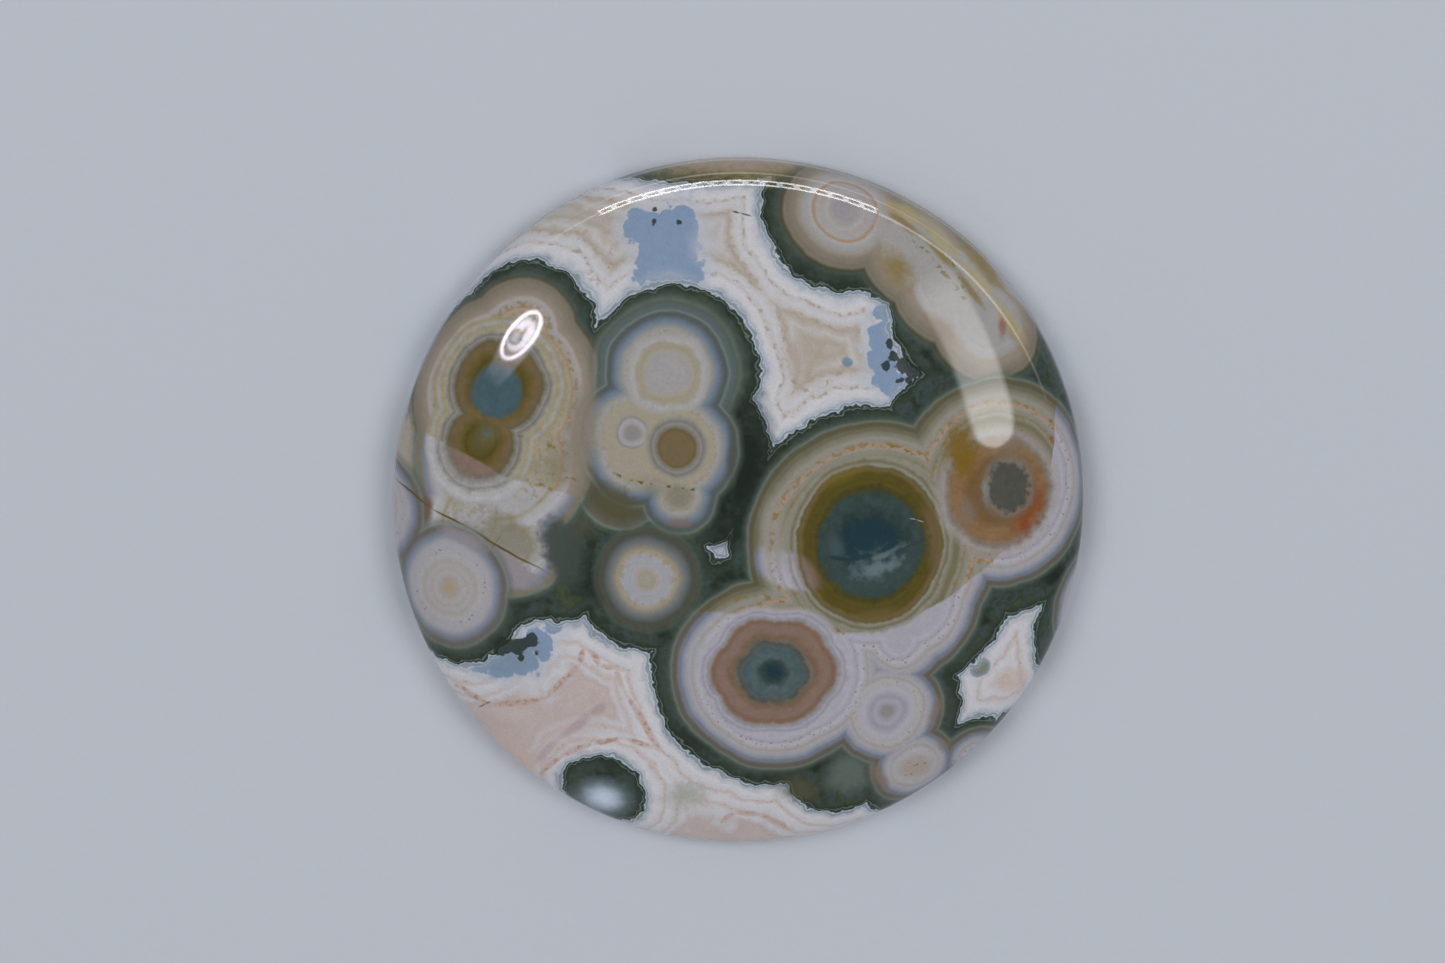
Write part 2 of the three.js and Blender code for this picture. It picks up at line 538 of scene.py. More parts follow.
# The orbs, from the lowest layer to the highest.
ORB_LAYERS: tuple[Growth | Patch | Seam, ...] = (
    Growth("back and wall orbs", DEEP_PALE, STAINED_BAND + STAINED_SHELL, CLEAN_BAND + CLEAN_SHELL),
    Patch("window of the small green orb", -8.8, -19.05, 2.5, 1.75, WINDOW_EDGE, turn=-10, soft=0.7, ragged=0.1),
    Patch("light in the window", -8.8, -19.1, 1.75, 1.15, WINDOW, turn=-10, soft=0.9, ragged=0.1),
    Growth("rose at the top", (
        Ball(6.8, 19.15, 2.8), Ball(11.4, 16.6, 2.6), Ball(13.6, 14.3, 2.7), Ball(15.9, 12.0, 2.6),
        Ball(17.8, 14.6, 2.2, 1.0)), (
        Ring(-1.0, ROSE_WHITE), Ring(-0.6, HAZY_CREAM), Ring(-0.3, ROSE_WHITE),
        *shell(SMOKE_EDGE, SMOKE_GLOW, SMOKE_BROWN, 1.35, OLIVE_SMOKE, 0.6)), banding=0.08, mottle=0.06),
    Growth("rose heart", (Ball(6.78, 19.1, 0.0),), (
        Ring(0.0, ROSE_GREY), Ring(0.7, ROSE_GREY), Ring(1.05, PINK_WHITE), Ring(1.3, WHITE), Ring(1.6, PINK_WHITE),
        Ring(1.9, WHITE), Ring(2.1, ORANGE_LINE), Ring(2.3, WHITE), Ring(2.7, ROSE_WHITE, 0.9),
        Ring(3.2, ROSE_WHITE, 0.0)),
        rows=(Row(2.1, 0.22, ORANGE_LINE, 0.9),), banding=0.08, mottle=0.06),
    Patch("pale crescent of the rose", 9.3, 17.9, 1.6, 0.8, PINK_WHITE, turn=-60, opacity=0.7, soft=0.9),
    Patch("olive smoke in the rose", 10.0, 15.4, 2.3, 1.3, OLIVE_GOLD, turn=-45, opacity=0.85, soft=0.9),
    Patch("gold smoke at the rose's rim", 11.5, 18.6, 3.6, 0.9, YELLOW_CREAM, turn=-38, opacity=0.6, soft=0.9),
    Patch("gold smoke along the rim", 15.6, 15.6, 3.2, 0.7, OLIVE_GOLD, turn=-50, opacity=0.8, soft=0.9),
    Patch("gold smoke in the rose's foot", 17.6, 11.3, 1.8, 0.6, OLIVE_GOLD, turn=-60, opacity=0.6, soft=0.9),
    Patch("tan foot of the rose", 13.0, 11.6, 2.2, 1.0, TAN_SHELL, turn=-40, opacity=0.6, soft=0.9),
    # Partly gold staining, partly a painted highlight: the line of reflected light along the upper right shoulder is
    # painted here in pale gold.
    Seam("gold streak and painted highlight at the rim", ((9.2, 19.6), (11.8, 18.1), (14.2, 15.9), (16.4, 13.3), (18.3, 10.6)), 0.6,
         RIM_GOLD_AND_HIGHLIGHT, 0.6),
    Seam("ochre streak at the rim", ((9.6, 18.9), (11.8, 17.3), (13.9, 15.2), (15.8, 12.7)), 0.34, OLIVE_GOLD, 0.8),
    Seam("gold line in the rose", ((10.8, 17.3), (12.3, 16.1), (13.6, 14.4), (14.6, 13.2)), 0.24, GOLD_OLIVE, 0.8,
         Mark.SMEARS),
    Growth("left orbs", (
        Ball(-15.1, 7.5, 5.35), Ball(-14.1, 11.0, 2.75), Ball(-15.3, 3.3, 4.9), Ball(-17.3, -0.6, 2.85),
        Ball(-14.5, -2.3, 2.35)), (
        Ring(-1.3, CREAM), Ring(-1.1, HONEY_CREAM), Ring(-0.95, WARM_CREAM), Ring(-0.8, ORANGE_LINE),
        Ring(-0.65, CREAM), Ring(-0.4, HAZY_CREAM), Ring(-0.15, PINK_WHITE),
        *shell(SMOKE_EDGE, SMOKE_GLOW, SMOKE_BROWN, 1.25, STAINED_BROWN, 0.7)), (
        Ring(-1.3, WHITE), Ring(-1.1, YELLOW_CREAM), Ring(-0.85, WHITE), Ring(-0.4, BRIGHT_WHITE),
        Ring(-0.12, LAVENDER_WHITE), *shell(EDGE_PALE, GLOW, SMOKE_BROWN, 1.1)),
        rows=(Row(-0.6, 0.35, OCHRE, 0.55, Mark.SMEARS, Side.STAINED),
              Row(-1.3, 0.35, OCHRE, 0.35, Mark.SMEARS)), banding=0.1, mottle=0.06),
    Patch("dusk below the left orbs", -14.6, -1.9, 3.3, 1.7, DUSK, turn=-28, opacity=0.85, soft=0.7),
    Patch("yellow clouds below", -14.4, -0.9, 2.6, 0.8, STAINED_YELLOW, turn=-25, opacity=0.6, soft=0.9, ragged=0.5),
    Patch("yellow clouds left", -18.4, 1.2, 1.1, 2.4, YELLOW_CREAM, turn=35, opacity=0.6, soft=0.8),
    Patch("yellow clouds right", -11.6, 2.9, 1.7, 2.2, STAINED_YELLOW, turn=-20, opacity=0.7, soft=0.9),
    Patch("bright white below", -14.6, 0.4, 2.4, 0.8, WHITE, turn=-12, opacity=0.8, soft=0.8),
    Patch("edge cream over the shell", -21.9, 2.6, 4.4, 1.0, LEFT_CREAM, turn=86, opacity=0.9, soft=0.7),
    Patch("dusk right of the fracture", -11.3, -2.6, 1.7, 3.0, DEEP_DUSK, turn=18, opacity=0.95, soft=0.55),
    Patch("blue foot of the left orbs", -13.6, -4.7, 1.6, 0.7, GLOW, turn=-10, opacity=0.7, soft=0.9),
    Patch("pink haze under the fracture", -15.9, -3.35, 3.7, 1.35, PINK_HAZE, turn=-28, opacity=0.95, soft=0.3),
    Patch("brown beside the fracture", -20.1, -0.1, 0.6, 1.5, EMBER_BROWN, opacity=0.9, soft=0.7),
    Growth("left moon", (Ball(-18.7, -5.15, 2.95), Ball(-23.0, -0.4, 2.6, 1.5)), (
        Ring(-2.95, TAN_HEARTLET), Ring(-2.6, WARM_CREAM), Ring(-2.3, PINK_WHITE), Ring(-2.0, WHITE),
        Ring(-1.75, PINK_WHITE), Ring(-1.5, WHITE), Ring(-1.2, PINK_WHITE), Ring(-0.9, WHITE),
        Ring(-0.4, LAVENDER_WHITE), *shell(EDGE_PALE, GLOW, MOON_BROWN, 1.15)),
        rows=(Row(-0.55, 0.22, RED_SPECK, 0.6),), banding=0.05),
    Patch("pink over the moon's shell", -17.6, -1.9, 2.6, 0.75, PINK_HAZE, turn=-22, opacity=0.85, soft=0.8),
    Growth("left hearts", (Ball(-15.42, 7.91, 0.0), Ball(-16.59, 4.19, -0.7)), (
        Ring(0.0, SOFT_OLIVE), Ring(1.7, OLIVE), Ring(2.3, OLIVE_BROWN), Ring(2.65, BROWN), Ring(2.85, SOFT_OLIVE),
        Ring(3.05, GREY_RING), Ring(3.2, GREY_BAND), Ring(3.36, GREY_RING), Ring(3.6, CREAM), Ring(3.9, YELLOW_CREAM),
        Ring(4.1, HAZY_CREAM), Ring(4.4, YELLOW_CREAM), Ring(4.7, HONEY_CREAM, 0.0)), (
        Ring(0.0, PINK_BROWN), Ring(2.2, ROSE_BROWN), Ring(2.7, PINK_BROWN), Ring(2.9, GREY_RING),
        Ring(3.1, GREY_BAND), Ring(3.4, HAZY_CREAM), Ring(3.6, GREY_BAND), Ring(3.9, WHITE), Ring(4.2, BRIGHT_WHITE),
        Ring(4.6, WHITE, 0.0)), banding=0.1, mottle=0.2, ragged=0.1),
    Growth("left teal heart", (Ball(-15.55, 7.52, 0.0),), (
        Ring(0.0, SEA_TEAL), Ring(1.3, SEA_TEAL), Ring(1.6, SEA_TEAL, 0.8), Ring(1.85, SEA_TEAL, 0.0)),
        mottle=0.25, ragged=0.3),
    Growth("left small heart", (Ball(-16.14, 4.77, 0.0),), (
        Ring(0.0, TEAL_ORB, 0.9), Ring(0.5, SOFT_OLIVE, 0.8), Ring(1.0, SOFT_OLIVE, 0.0)), mottle=0.2),
    Growth("slate haze of the upper twin", (Ball(-4.6, 8.95, 3.15),), (
        Ring(-0.5, SLATE_HAZE), Ring(0.9, SLATE_HAZE), Ring(1.3, GREY_GREEN), Ring(1.5, PALE_LINE, 0.5),
        Ring(1.75, GREY_GREEN, 0.4), Ring(2.1, GREY_GREEN, 0.0))),
    Growth("twin orbs", (
        Ball(-4.6, 8.95, 2.95), Ball(-6.85, 5.1, 2.45), Ball(-6.7, 3.6, 2.25), Ball(-4.0, 4.1, 2.95),
        Ball(-3.8, 1.0, 1.4)), (
        Ring(-1.3, CREAM), Ring(-0.9, CREAM), Ring(-0.6, HONEY_CREAM), Ring(-0.35, HAZY_CREAM),
        *shell(SLATE_EDGE, SLATE_GLOW, SLATE_BROWN, 1.0)),
        rows=(Row(-0.4, 0.22, OCHRE, 0.3, Mark.SMEARS),), banding=0.08, mottle=0.05),
    Growth("twin top heart", (Ball(-4.5, 8.8, 0.0),), (
        Ring(0.0, HAZY_CREAM), Ring(1.3, HAZY_CREAM), Ring(1.7, HONEY_CREAM), Ring(2.05, CREAM), Ring(2.3, WHITE),
        Ring(2.5, WHITE, 0.8), Ring(2.85, HAZY_CREAM, 0.0)),
        petals=4, petal_depth=-0.10, banding=0.06, mottle=0.08, ragged=0.14),
    Growth("twin small heart", (Ball(-6.83, 5.11, 0.0),), (
        Ring(0.0, GREY_BAND), Ring(0.45, GREY_BAND), Ring(0.7, HAZY_CREAM), Ring(0.85, LAVENDER_WHITE),
        Ring(1.0, GREY_BAND), Ring(1.15, CREAM), Ring(1.35, HONEY_CREAM, 0.9), Ring(1.7, HONEY_CREAM, 0.0))),
    Growth("twin tan heart", (Ball(-3.97, 4.11, 0.0),), (
        Ring(0.0, TAN_HEART), Ring(1.05, TAN_HEART), Ring(1.2, OLIVE_BROWN), Ring(1.36, GREY_RING),
        Ring(1.56, GREY_BAND), Ring(1.72, GREY_RING), Ring(1.88, GREY_BAND), Ring(2.1, HONEY_CREAM, 0.9),
        Ring(2.5, HONEY_CREAM, 0.0)), mottle=0.1, ragged=0.05),
    Growth("twin foot heart", (Ball(-3.8, 1.0, 0.0),), (
        Ring(0.0, DUSK), Ring(0.6, DUSK, 0.9), Ring(1.2, CREAM, 0.0)), mottle=0.1),
    Patch("smoke left of the twins", -10.0, 5.0, 1.5, 4.7, SMOKE_GLOW, turn=-6, opacity=0.85, soft=0.7),
    Patch("olive smoke below the twins", -7.9, 0.7, 2.6, 1.3, OLIVE_SMOKE, turn=-22, opacity=0.85, soft=0.7),
    Patch("stained foot of the twins", -5.3, 1.6, 2.6, 0.9, STAINED_YELLOW, turn=-12, opacity=0.5, soft=0.9),
    Patch("brown shell of the twins", -0.5, 3.7, 0.45, 2.9, TWIN_BROWN, opacity=0.75, soft=0.9),
    Patch("brown foot of the twins", -3.8, -0.7, 1.3, 0.45, RUSSET, opacity=0.6, soft=0.8),
    Growth("pearl", (Ball(-5.87, -4.32, 2.1),), (
        Ring(-2.1, CREAM), Ring(-1.5, CREAM), Ring(-1.15, LAVENDER_WHITE), Ring(-1.0, HAZY_CREAM), Ring(-0.8, ICE),
        Ring(-0.55, LAVENDER_WHITE), Ring(-0.3, HONEY_CREAM), *shell(STAINED_EDGE, PEARL_GLOW, TWIN_BROWN, 1.15,
                                                                 STAINED_BROWN, 0.5)),
        rows=(Row(-0.45, 0.35, OCHRE, 0.3, Mark.SMEARS),), banding=0.07),
    Growth("right edge orb", (Ball(23.0, -6.4, 2.5, 1.0),), CLEAN_BAND + CLEAN_SHELL,
           rows=(Row(-0.7, 0.3, RED_SPECK, 0.7),)),
    Growth("great orbs", (
        Ball(8.6, -2.3, 7.15), Ball(10.6, -5.6, 4.1), Ball(10.3, -8.2, 2.3),
        Ball(1.65, -10.4, 5.05), Ball(3.2, -10.3, 5.35), Ball(2.4, -10.8, 5.25),
        Ball(16.7, 1.7, 5.75), Ball(9.55, -13.1, 2.75), Ball(11.4, -17.0, 1.95), Ball(15.1, -16.2, 1.15)),
        STAINED_BAND + STAINED_SHELL, CLEAN_BAND + CLEAN_SHELL,
        rows=(Row(-0.6, 0.35, OCHRE, 0.6, Mark.SMEARS, Side.STAINED),
              Row(-1.3, 0.25, OCHRE, 0.5, Mark.SMEARS, Side.STAINED),
              Row(-0.75, 0.4, RED_SPECK, 0.6, Mark.GRAINS, Side.CLEAN)), banding=0.16, mottle=0.06),
    Patch("pale left of the great orb", 2.3, -1.6, 1.2, 3.2, STAINED_WHITE, turn=8, opacity=0.85, soft=0.9),
    Seam("ochre left of the great orb", ((2.7, 0.8), (2.2, -0.8), (2.0, -2.6), (2.3, -4.4)), 0.24, OCHRE, 0.6,
         Mark.SMEARS),
    Seam("ochre above the great orb", ((9.4, 4.2), (10.4, 3.9), (11.4, 3.5)), 0.2, OCHRE, 0.8, Mark.SMEARS),
    Seam("ochre below the great orb", ((-1.6, -5.9), (0.8, -5.3), (3.2, -5.8), (5.0, -7.0), (6.8, -8.0)), 0.26,
         OCHRE, 0.65, Mark.SMEARS),
    Seam("white below the great orb", ((-0.4, -6.4), (1.6, -6.1), (3.6, -6.8), (5.0, -7.9)), 0.3, STAINED_WHITE, 0.8),
    Patch("blue glow of the star's band", -2.5, -9.6, 0.8, 2.0, ICE, opacity=0.7, soft=0.9),
    Patch("tan shell right of the low heart", 12.6, -13.4, 0.55, 2.0, TAN_SHELL, turn=-15, opacity=0.7, soft=0.9),
    Patch("tan shell of the edge heart", 9.1, -17.6, 0.6, 1.9, TAN_SHELL, turn=25, opacity=0.8, soft=0.9),
    Patch("tan between the low hearts", 13.3, -15.6, 0.9, 0.6, TAN_SHELL, turn=-30, opacity=0.6, soft=0.9),
    Growth("great ring", (Ball(8.35, -2.1, 0.0),), (
        Ring(3.0, DARK_OLIVE), Ring(3.6, DARK_OLIVE), Ring(3.85, OLIVE), Ring(4.45, OLIVE), Ring(4.72, OLIVE_BROWN),
        Ring(4.88, SOFT_OLIVE), Ring(5.05, STAINED_CREAM), Ring(5.25, STAINED_GREY), Ring(5.45, STAINED_CREAM),
        Ring(5.8, STAINED_CREAM, 0.0)), (
        Ring(3.0, DARK_BROWN), Ring(3.6, DARK_BROWN), Ring(4.1, BROWN), Ring(4.6, PINK_BROWN), Ring(4.85, BROWN),
        Ring(5.05, GREY_BAND), Ring(5.3, LAVENDER_WHITE), Ring(5.5, GREY_BAND), Ring(5.8, LAVENDER_WHITE, 0.0)),
        banding=0.1, mottle=0.16, ragged=0.1, wide=0.95, tall=1.03),
    Patch("yellow side of the great ring", 6.6, 2.3, 2.6, 0.7, GOLD_OLIVE, turn=28, opacity=0.5, soft=0.9),
    Patch("brown side of the great ring", 12.3, -1.6, 0.9, 3.4, BROWN, turn=8, opacity=0.75, soft=0.9),
    Patch("brown foot of the great ring", 8.9, -6.7, 3.0, 0.7, OLIVE_BROWN, turn=8, opacity=0.7, soft=0.9),
    Growth("great teal heart", (Ball(8.4, -2.13, 0.0),), (
        Ring(0.0, DEEP_TEAL), Ring(1.5, DEEP_TEAL), Ring(2.1, TEAL), Ring(2.8, MID_TEAL),
        Ring(3.3, MID_TEAL, 0.95), Ring(3.55, DARK_OLIVE, 0.7), Ring(3.95, DARK_OLIVE, 0.0)), mottle=0.5, ragged=0.4),
    Patch("light of the great heart", 8.7, -3.5, 2.7, 1.6, LIGHT_TEAL, turn=15, opacity=0.85, soft=0.9, ragged=0.9),
    Patch("bright streak of the great heart", 8.9, -3.6, 2.3, 0.55, SEA_GREY, turn=18, opacity=0.8, soft=0.9,
          ragged=0.7),
    Patch("second streak of the great heart", 9.3, -2.7, 1.7, 0.35, SEA_GREY, turn=20, opacity=0.55, soft=0.9,
          ragged=0.7),
    Patch("left light of the great heart", 6.2, -2.4, 0.7, 1.5, LIGHT_TEAL, turn=10, opacity=0.5, soft=0.9, ragged=0.8),
    Patch("dark of the great heart", 8.0, -1.2, 2.2, 1.2, DEEP_TEAL, turn=15, opacity=0.85, soft=0.9, ragged=0.7),
    Seam("dark streak of the great heart", ((5.6, -2.9), (7.0, -3.1), (8.6, -2.7), (10.2, -2.0)), 0.24, DEEP_TEAL, 0.85),
    Growth("star rings", (Ball(2.2, -10.35, 0.0),), (
        Ring(1.8, ASH), Ring(2.1, GREY_RING), Ring(2.35, BROWN), Ring(2.6, RUSSET), Ring(2.9, ROSE_BROWN),
        Ring(3.1, ROSE_BROWN), Ring(3.35, ROSE_BROWN), Ring(3.6, RUSSET), Ring(3.75, ROSE_BROWN), Ring(3.9, GREY_BAND),
        Ring(4.05, LAVENDER), Ring(4.2, LAVENDER_WHITE), Ring(4.35, LAVENDER), Ring(4.55, PALE_LAVENDER, 0.8),
        Ring(4.95, WHITE, 0.0)),
        banding=0.05, mottle=0.14, ragged=0.12, wide=1.04, tall=0.92, petals=6, petal_depth=0.08, petal_turn=0.1),
    Growth("star heart", (Ball(2.15, -10.4, 0.0),), (
        Ring(0.0, DEEP_TEAL), Ring(0.3, DEEP_TEAL), Ring(0.75, MID_TEAL), Ring(1.1, LIGHT_TEAL),
        Ring(1.45, LIGHT_TEAL), Ring(1.65, SEA_TEAL),
        Ring(1.8, SLATE_BROWN), Ring(2.05, ASH, 0.9), Ring(2.5, GREY_RING, 0.0)),
        mottle=0.35, ragged=0.16, wide=1.04, tall=0.96, petals=6, petal_depth=0.1, petal_turn=0.4),
    Growth("ember", (Ball(16.66, 1.18, 0.0),), (
        Ring(0.0, EMBER_BROWN), Ring(2.0, EMBER_BROWN), Ring(2.6, EMBER_TAN), Ring(3.05, EMBER_TAN), Ring(3.4, TAN_SHELL),
        Ring(3.7, GREY_BAND), Ring(4.0, PINK_WHITE, 0.6), Ring(4.5, PINK_WHITE, 0.0)),
        rows=(Row(4.2, 0.12, RED_SPECK, 0.5),), banding=0.08, mottle=0.2, ragged=0.16),
    Patch("peach top of the ember", 17.2, 4.0, 1.9, 1.0, TAN_SHELL, opacity=0.6, soft=0.9),
    Patch("olive of the ember", 14.25, 3.7, 1.5, 2.6, GOLD_OCHRE, turn=14, opacity=0.95, soft=0.75, ragged=0.4),
    Patch("peach of the ember", 14.6, 0.0, 0.9, 1.4, PINK_BROWN, opacity=0.75, soft=0.9),
    Patch("glow of the ember", 18.5, -0.1, 1.35, 2.9, EMBER, turn=-20, opacity=0.95, soft=0.9, ragged=0.4),
    Growth("ember heart", (Ball(17.26, 1.38, 0.0),), (
        Ring(0.0, ASH), Ring(1.3, ASH), Ring(1.65, GREY_RING, 0.7), Ring(2.0, BROWN, 0.4), Ring(2.4, BROWN, 0.0)),
        mottle=0.24, ragged=0.5, wide=0.95, tall=1.12),
    Patch("pale side of the ember's heart", 15.85, 1.3, 0.35, 1.0, GREY_BAND, opacity=0.7, soft=0.9, ragged=0.8),
    Growth("low heart", (Ball(9.52, -13.12, 0.0),), (
        Ring(0.0, GREY_BAND), Ring(0.3, GREY_BAND), Ring(0.5, LAVENDER), Ring(0.8, LAVENDER_WHITE), Ring(1.1, LAVENDER),
        Ring(1.4, LAVENDER_WHITE), Ring(1.6, PALE_LAVENDER), Ring(1.95, WHITE), Ring(2.4, WHITE, 0.0)),
        rows=(Row(2.2, 0.22, ORANGE_LINE, 0.85),)),
    Growth("edge heart", (Ball(11.4, -17.0, 0.0),), (
        Ring(0.0, WARM_CREAM), Ring(0.8, PINK_WHITE), Ring(1.2, WHITE), Ring(1.7, WHITE, 0.0)),
        rows=(Row(0.4, 0.7, RED_SPECK, 0.7),), wide=1.15, tall=0.85),
)

# Fine marks on top of everything.
TOP_LAYERS: tuple[Growth | Patch | Seam, ...] = (
    Seam("fracture", ((-22.3, 1.7), (-19.8, 0.0), (-17.3, -1.2), (-12.4, -4.0)), 0.12, DARK_OCHRE, 0.95),
    Seam("cross crack", ((-15.1, -1.3), (-16.1, -2.8)), 0.05, BROWN, 0.7),
    Seam("stain row upper", ((-15.3, 5.1), (-13.4, 4.5), (-11.4, 4.0), (-10.3, 3.7)), 0.16, OCHRE, 0.8, Mark.SMEARS),
    Seam("stain row middle", ((-12.4, 2.6), (-11.3, 2.3), (-10.2, 1.9)), 0.16, OCHRE, 0.8, Mark.SMEARS),
    Seam("stain row lower", ((-13.6, 2.0), (-12.4, 1.5), (-11.4, 0.9)), 0.16, OCHRE, 0.8, Mark.SMEARS),
    Seam("stain row of the twins", ((-8.8, 2.9), (-7.9, 2.4), (-7.0, 2.0), (-5.5, 1.8), (-3.8, 1.6), (-2.4, 1.4)),
         0.14, DARK_OCHRE, 0.9, Mark.SMEARS),
    Seam("orange dots in the rose", ((8.5, 17.7), (9.6, 16.9), (10.7, 16.0), (11.9, 15.3), (13.0, 14.4)),
         0.26, ORANGE_LINE, 0.9, Mark.GRAINS),
    Seam("seam in the rose", ((13.4, 16.0), (14.0, 14.9), (14.6, 13.5)), 0.15, OLIVE_BROWN, 0.7, Mark.SMEARS),
    Patch("orange stain in the rose", 16.9, 11.5, 0.35, 0.9, EMBER, opacity=0.6, soft=0.8),
    Seam("stain across the ember", ((19.7, 6.9), (20.2, 4.9), (20.1, 4.0)), 0.2, EMBER, 0.6, Mark.SMEARS),
    Seam("fleck", ((10.9, -0.5), (11.3, -0.6), (11.8, -0.8)), 0.06, CREAM, 0.9),
)


@dataclass(frozen=True)
class Polish:
    """How glossy the stone is, and how uneven its polish."""

    face_roughness: float = 0.045
    back_roughness: float = 0.34
    refraction: float = 1.54
    wave_size: float = 5.0
    wave_height: float = 0.004


class Num:
    """A number socket of a shader, with the operators that the formulas use."""

    def __init__(self, net: "Net", socket: bpy.types.NodeSocket) -> None:
        """Keeps the socket and the net that new nodes go to."""
        self.net = net
        self.socket = socket

    def __add__(self, other: "Num | float") -> "Num":
        """self + other."""
        return self.net.math("ADD", self, other)

    def __sub__(self, other: "Num | float") -> "Num":
        """self - other."""
        return self.net.math("SUBTRACT", self, other)

    def __rsub__(self, other: float) -> "Num":
        """other - self."""
        return self.net.math("SUBTRACT", other, self)

    def __mul__(self, other: "Num | float") -> "Num":
        """self * other."""
        return self.net.math("MULTIPLY", self, other)

    def __truediv__(self, other: "Num | float") -> "Num":
        """self / other."""
        return self.net.math("DIVIDE", self, other)

    def __abs__(self) -> "Num":
        """The distance from zero."""
        return self.net.math("ABSOLUTE", self)

    __radd__ = __add__
    __rmul__ = __mul__


class Net:
    """Writes the nodes of one material."""

    def __init__(self, tree: bpy.types.NodeTree) -> None:
        """Starts with an empty node tree."""
        self.tree = tree
        tree.nodes.clear()

    def node(self, kind: str, settings: dict[str, Any] | None = None,
             inputs: dict[str | int, Any] | None = None) -> bpy.types.Node:
        """Adds a node: its settings first, then its sockets' values and links.

        Args:
            kind: Blender's name for the node's type.
            settings: attributes, or "stops" for a ramp and "points" for a curve.
            inputs: a value, a Num or a socket for each input named or numbered.

        Returns:
            The new node.
        """
        made = self.tree.nodes.new(kind)
        for name, value in (settings or {}).items():
            if name == "stops":
                self._set_stops(made.color_ramp, value)
            elif name == "points":
                self._set_points(made.mapping, value)
            else:
                setattr(made, name, value)
        for key, value in (inputs or {}).items():
            given = value.socket if isinstance(value, Num) else value
            if isinstance(given, bpy.types.NodeSocket):
                self.tree.links.new(given, made.inputs[key])
            else:
                made.inputs[key].default_value = given
        return made

    @staticmethod
    def _set_stops(ramp: bpy.types.ColorRamp, stops: list[tuple[float, tuple]]) -> None:
        """Fills a ramp with (place, colour) stops, in order from 0 to 1."""
        while len(ramp.elements) > 1:
            ramp.elements.remove(ramp.elements[-1])
        ramp.elements[0].position = stops[0][0]
        ramp.elements[0].color = stops[0][1]
        for place, colour in stops[1:]:
            ramp.elements.new(place).color = colour

    @staticmethod
    def _set_points(mapping: bpy.types.CurveMapping, points: list[tuple[float, float]]) -> None:
        """Fills a float curve with (across, up) points joined by straight lines."""
        curve = mapping.curves[0]
        for across, up in points[1:-1]:
            curve.points.new(across, up)
        for point, place in ((curve.points[0], points[0]), (curve.points[-1], points[-1])):
            point.location = place
        for point in curve.points:
            point.handle_type = "VECTOR"
        mapping.update()

    def math(self, operation: str, *values: Num | float) -> Num:
        """One Math node on one or two numbers."""
        made = self.node("ShaderNodeMath", {"operation": operation}, dict(enumerate(values)))
        return Num(self, made.outputs[0])

    def vector(self, operation: str, *values: Any) -> bpy.types.NodeSocket:
        """One Vector Math node that gives a vector."""
        made = self.node("ShaderNodeVectorMath", {"operation": operation}, dict(enumerate(values)))
        return made.outputs["Vector"]

    def measure(self, operation: str, *values: Any) -> Num:
        """One Vector Math node that gives a number, such as a distance or a length."""
        made = self.node("ShaderNodeVectorMath", {"operation": operation}, dict(enumerate(values)))
        return Num(self, made.outputs["Value"])

    def local(self, place: Any, centre: tuple[float, float, float], sizes: tuple[float, float, float],
              turn: float = 0.0) -> bpy.types.NodeSocket:
        """A place in the axes of something: moved to its centre, turned, and over its sizes.

        Formula: mirroring in the line at half the turn brings the turned axis onto X, and what
        is symmetric about its axes can't tell that from a turn. Then the place times one over
        the sizes, minus the mirrored centre over the sizes. A size of 0 leaves that axis out.

        Args:
            place: the place.
            centre: the middle of the thing.
            sizes: its half axes.
            turn: how far its long axis is turned from X, in degrees.

        Returns:
            The place in those axes.
        """
        if turn:
            half = math.radians(turn) / 2
            across = (-math.sin(half), math.cos(half), 0.0)
            place = self.vector("REFLECT", place, across)
            depth = 2 * sum(a * b for a, b in zip(across, centre))
            centre = tuple(c - depth * a for c, a in zip(centre, across))
        scale = tuple(1 / size if size else 0.0 for size in sizes)
        return self.vector("MULTIPLY_ADD", place, scale, tuple(-c * s for c, s in zip(centre, scale)))

    def axis(self, place: Any, axis: int) -> Num:
        """One coordinate of a place."""
        return self.measure("DOT_PRODUCT", place, tuple(float(axis == i) for i in range(3)))

    def smooth(self, value: Num, start: float, end: float) -> Num:
        """0 before start, 1 after end, with a smooth step in between; start may be the larger."""
        low, high = min(start, end), max(start, end)
        at_low, at_high = (0.0, 1.0) if start < end else (1.0, 0.0)
        made = self.node(
            "ShaderNodeMapRange",
            {"interpolation_type": "SMOOTHSTEP", "clamp": False},
            {"Value": value, "From Min": low, "From Max": high, "To Min": at_low, "To Max": at_high},
        )
        return Num(self, made.outputs["Result"])

    def line(self, value: Num, middle: float, half_width: float) -> Num:
        """1 where the value is at the middle, falling smoothly to 0 at the half width."""
        return self.smooth(abs(value - middle), half_width, half_width * 0.25)

    def ramp(self, value: Num, rings: tuple[Ring, ...]) -> tuple[bpy.types.NodeSocket, Num]:
        """A colour ramp through rings, in order of how far out they are.

        Args:
            value: what the ramp reads, in the units of the rings.
            rings: the stops.

        Returns:
            The colour and the opacity.
        """
        start, span = rings[0].out, rings[-1].out - rings[0].out
        stops = [((ring.out - start) / span, ring.tint.albedo(ring.opacity)) for ring in rings]
        share = (value - start) * (1 / span) if start else value * (1 / span)
        made = self.node("ShaderNodeValToRGB", {"stops": stops}, {0: share})
        return made.outputs["Color"], Num(self, made.outputs["Alpha"])

    def mix(self, under: Any, over: Any, share: Num | float, blend: str = "MIX") -> bpy.types.NodeSocket:
        """Lays one colour over another, by a share from 0 to 1."""
        settings = {"data_type": "RGBA"} if blend == "MIX" else {"data_type": "RGBA", "blend_type": blend}
        return self.node("ShaderNodeMix", settings, {0: share, 6: under, 7: over}).outputs[2]

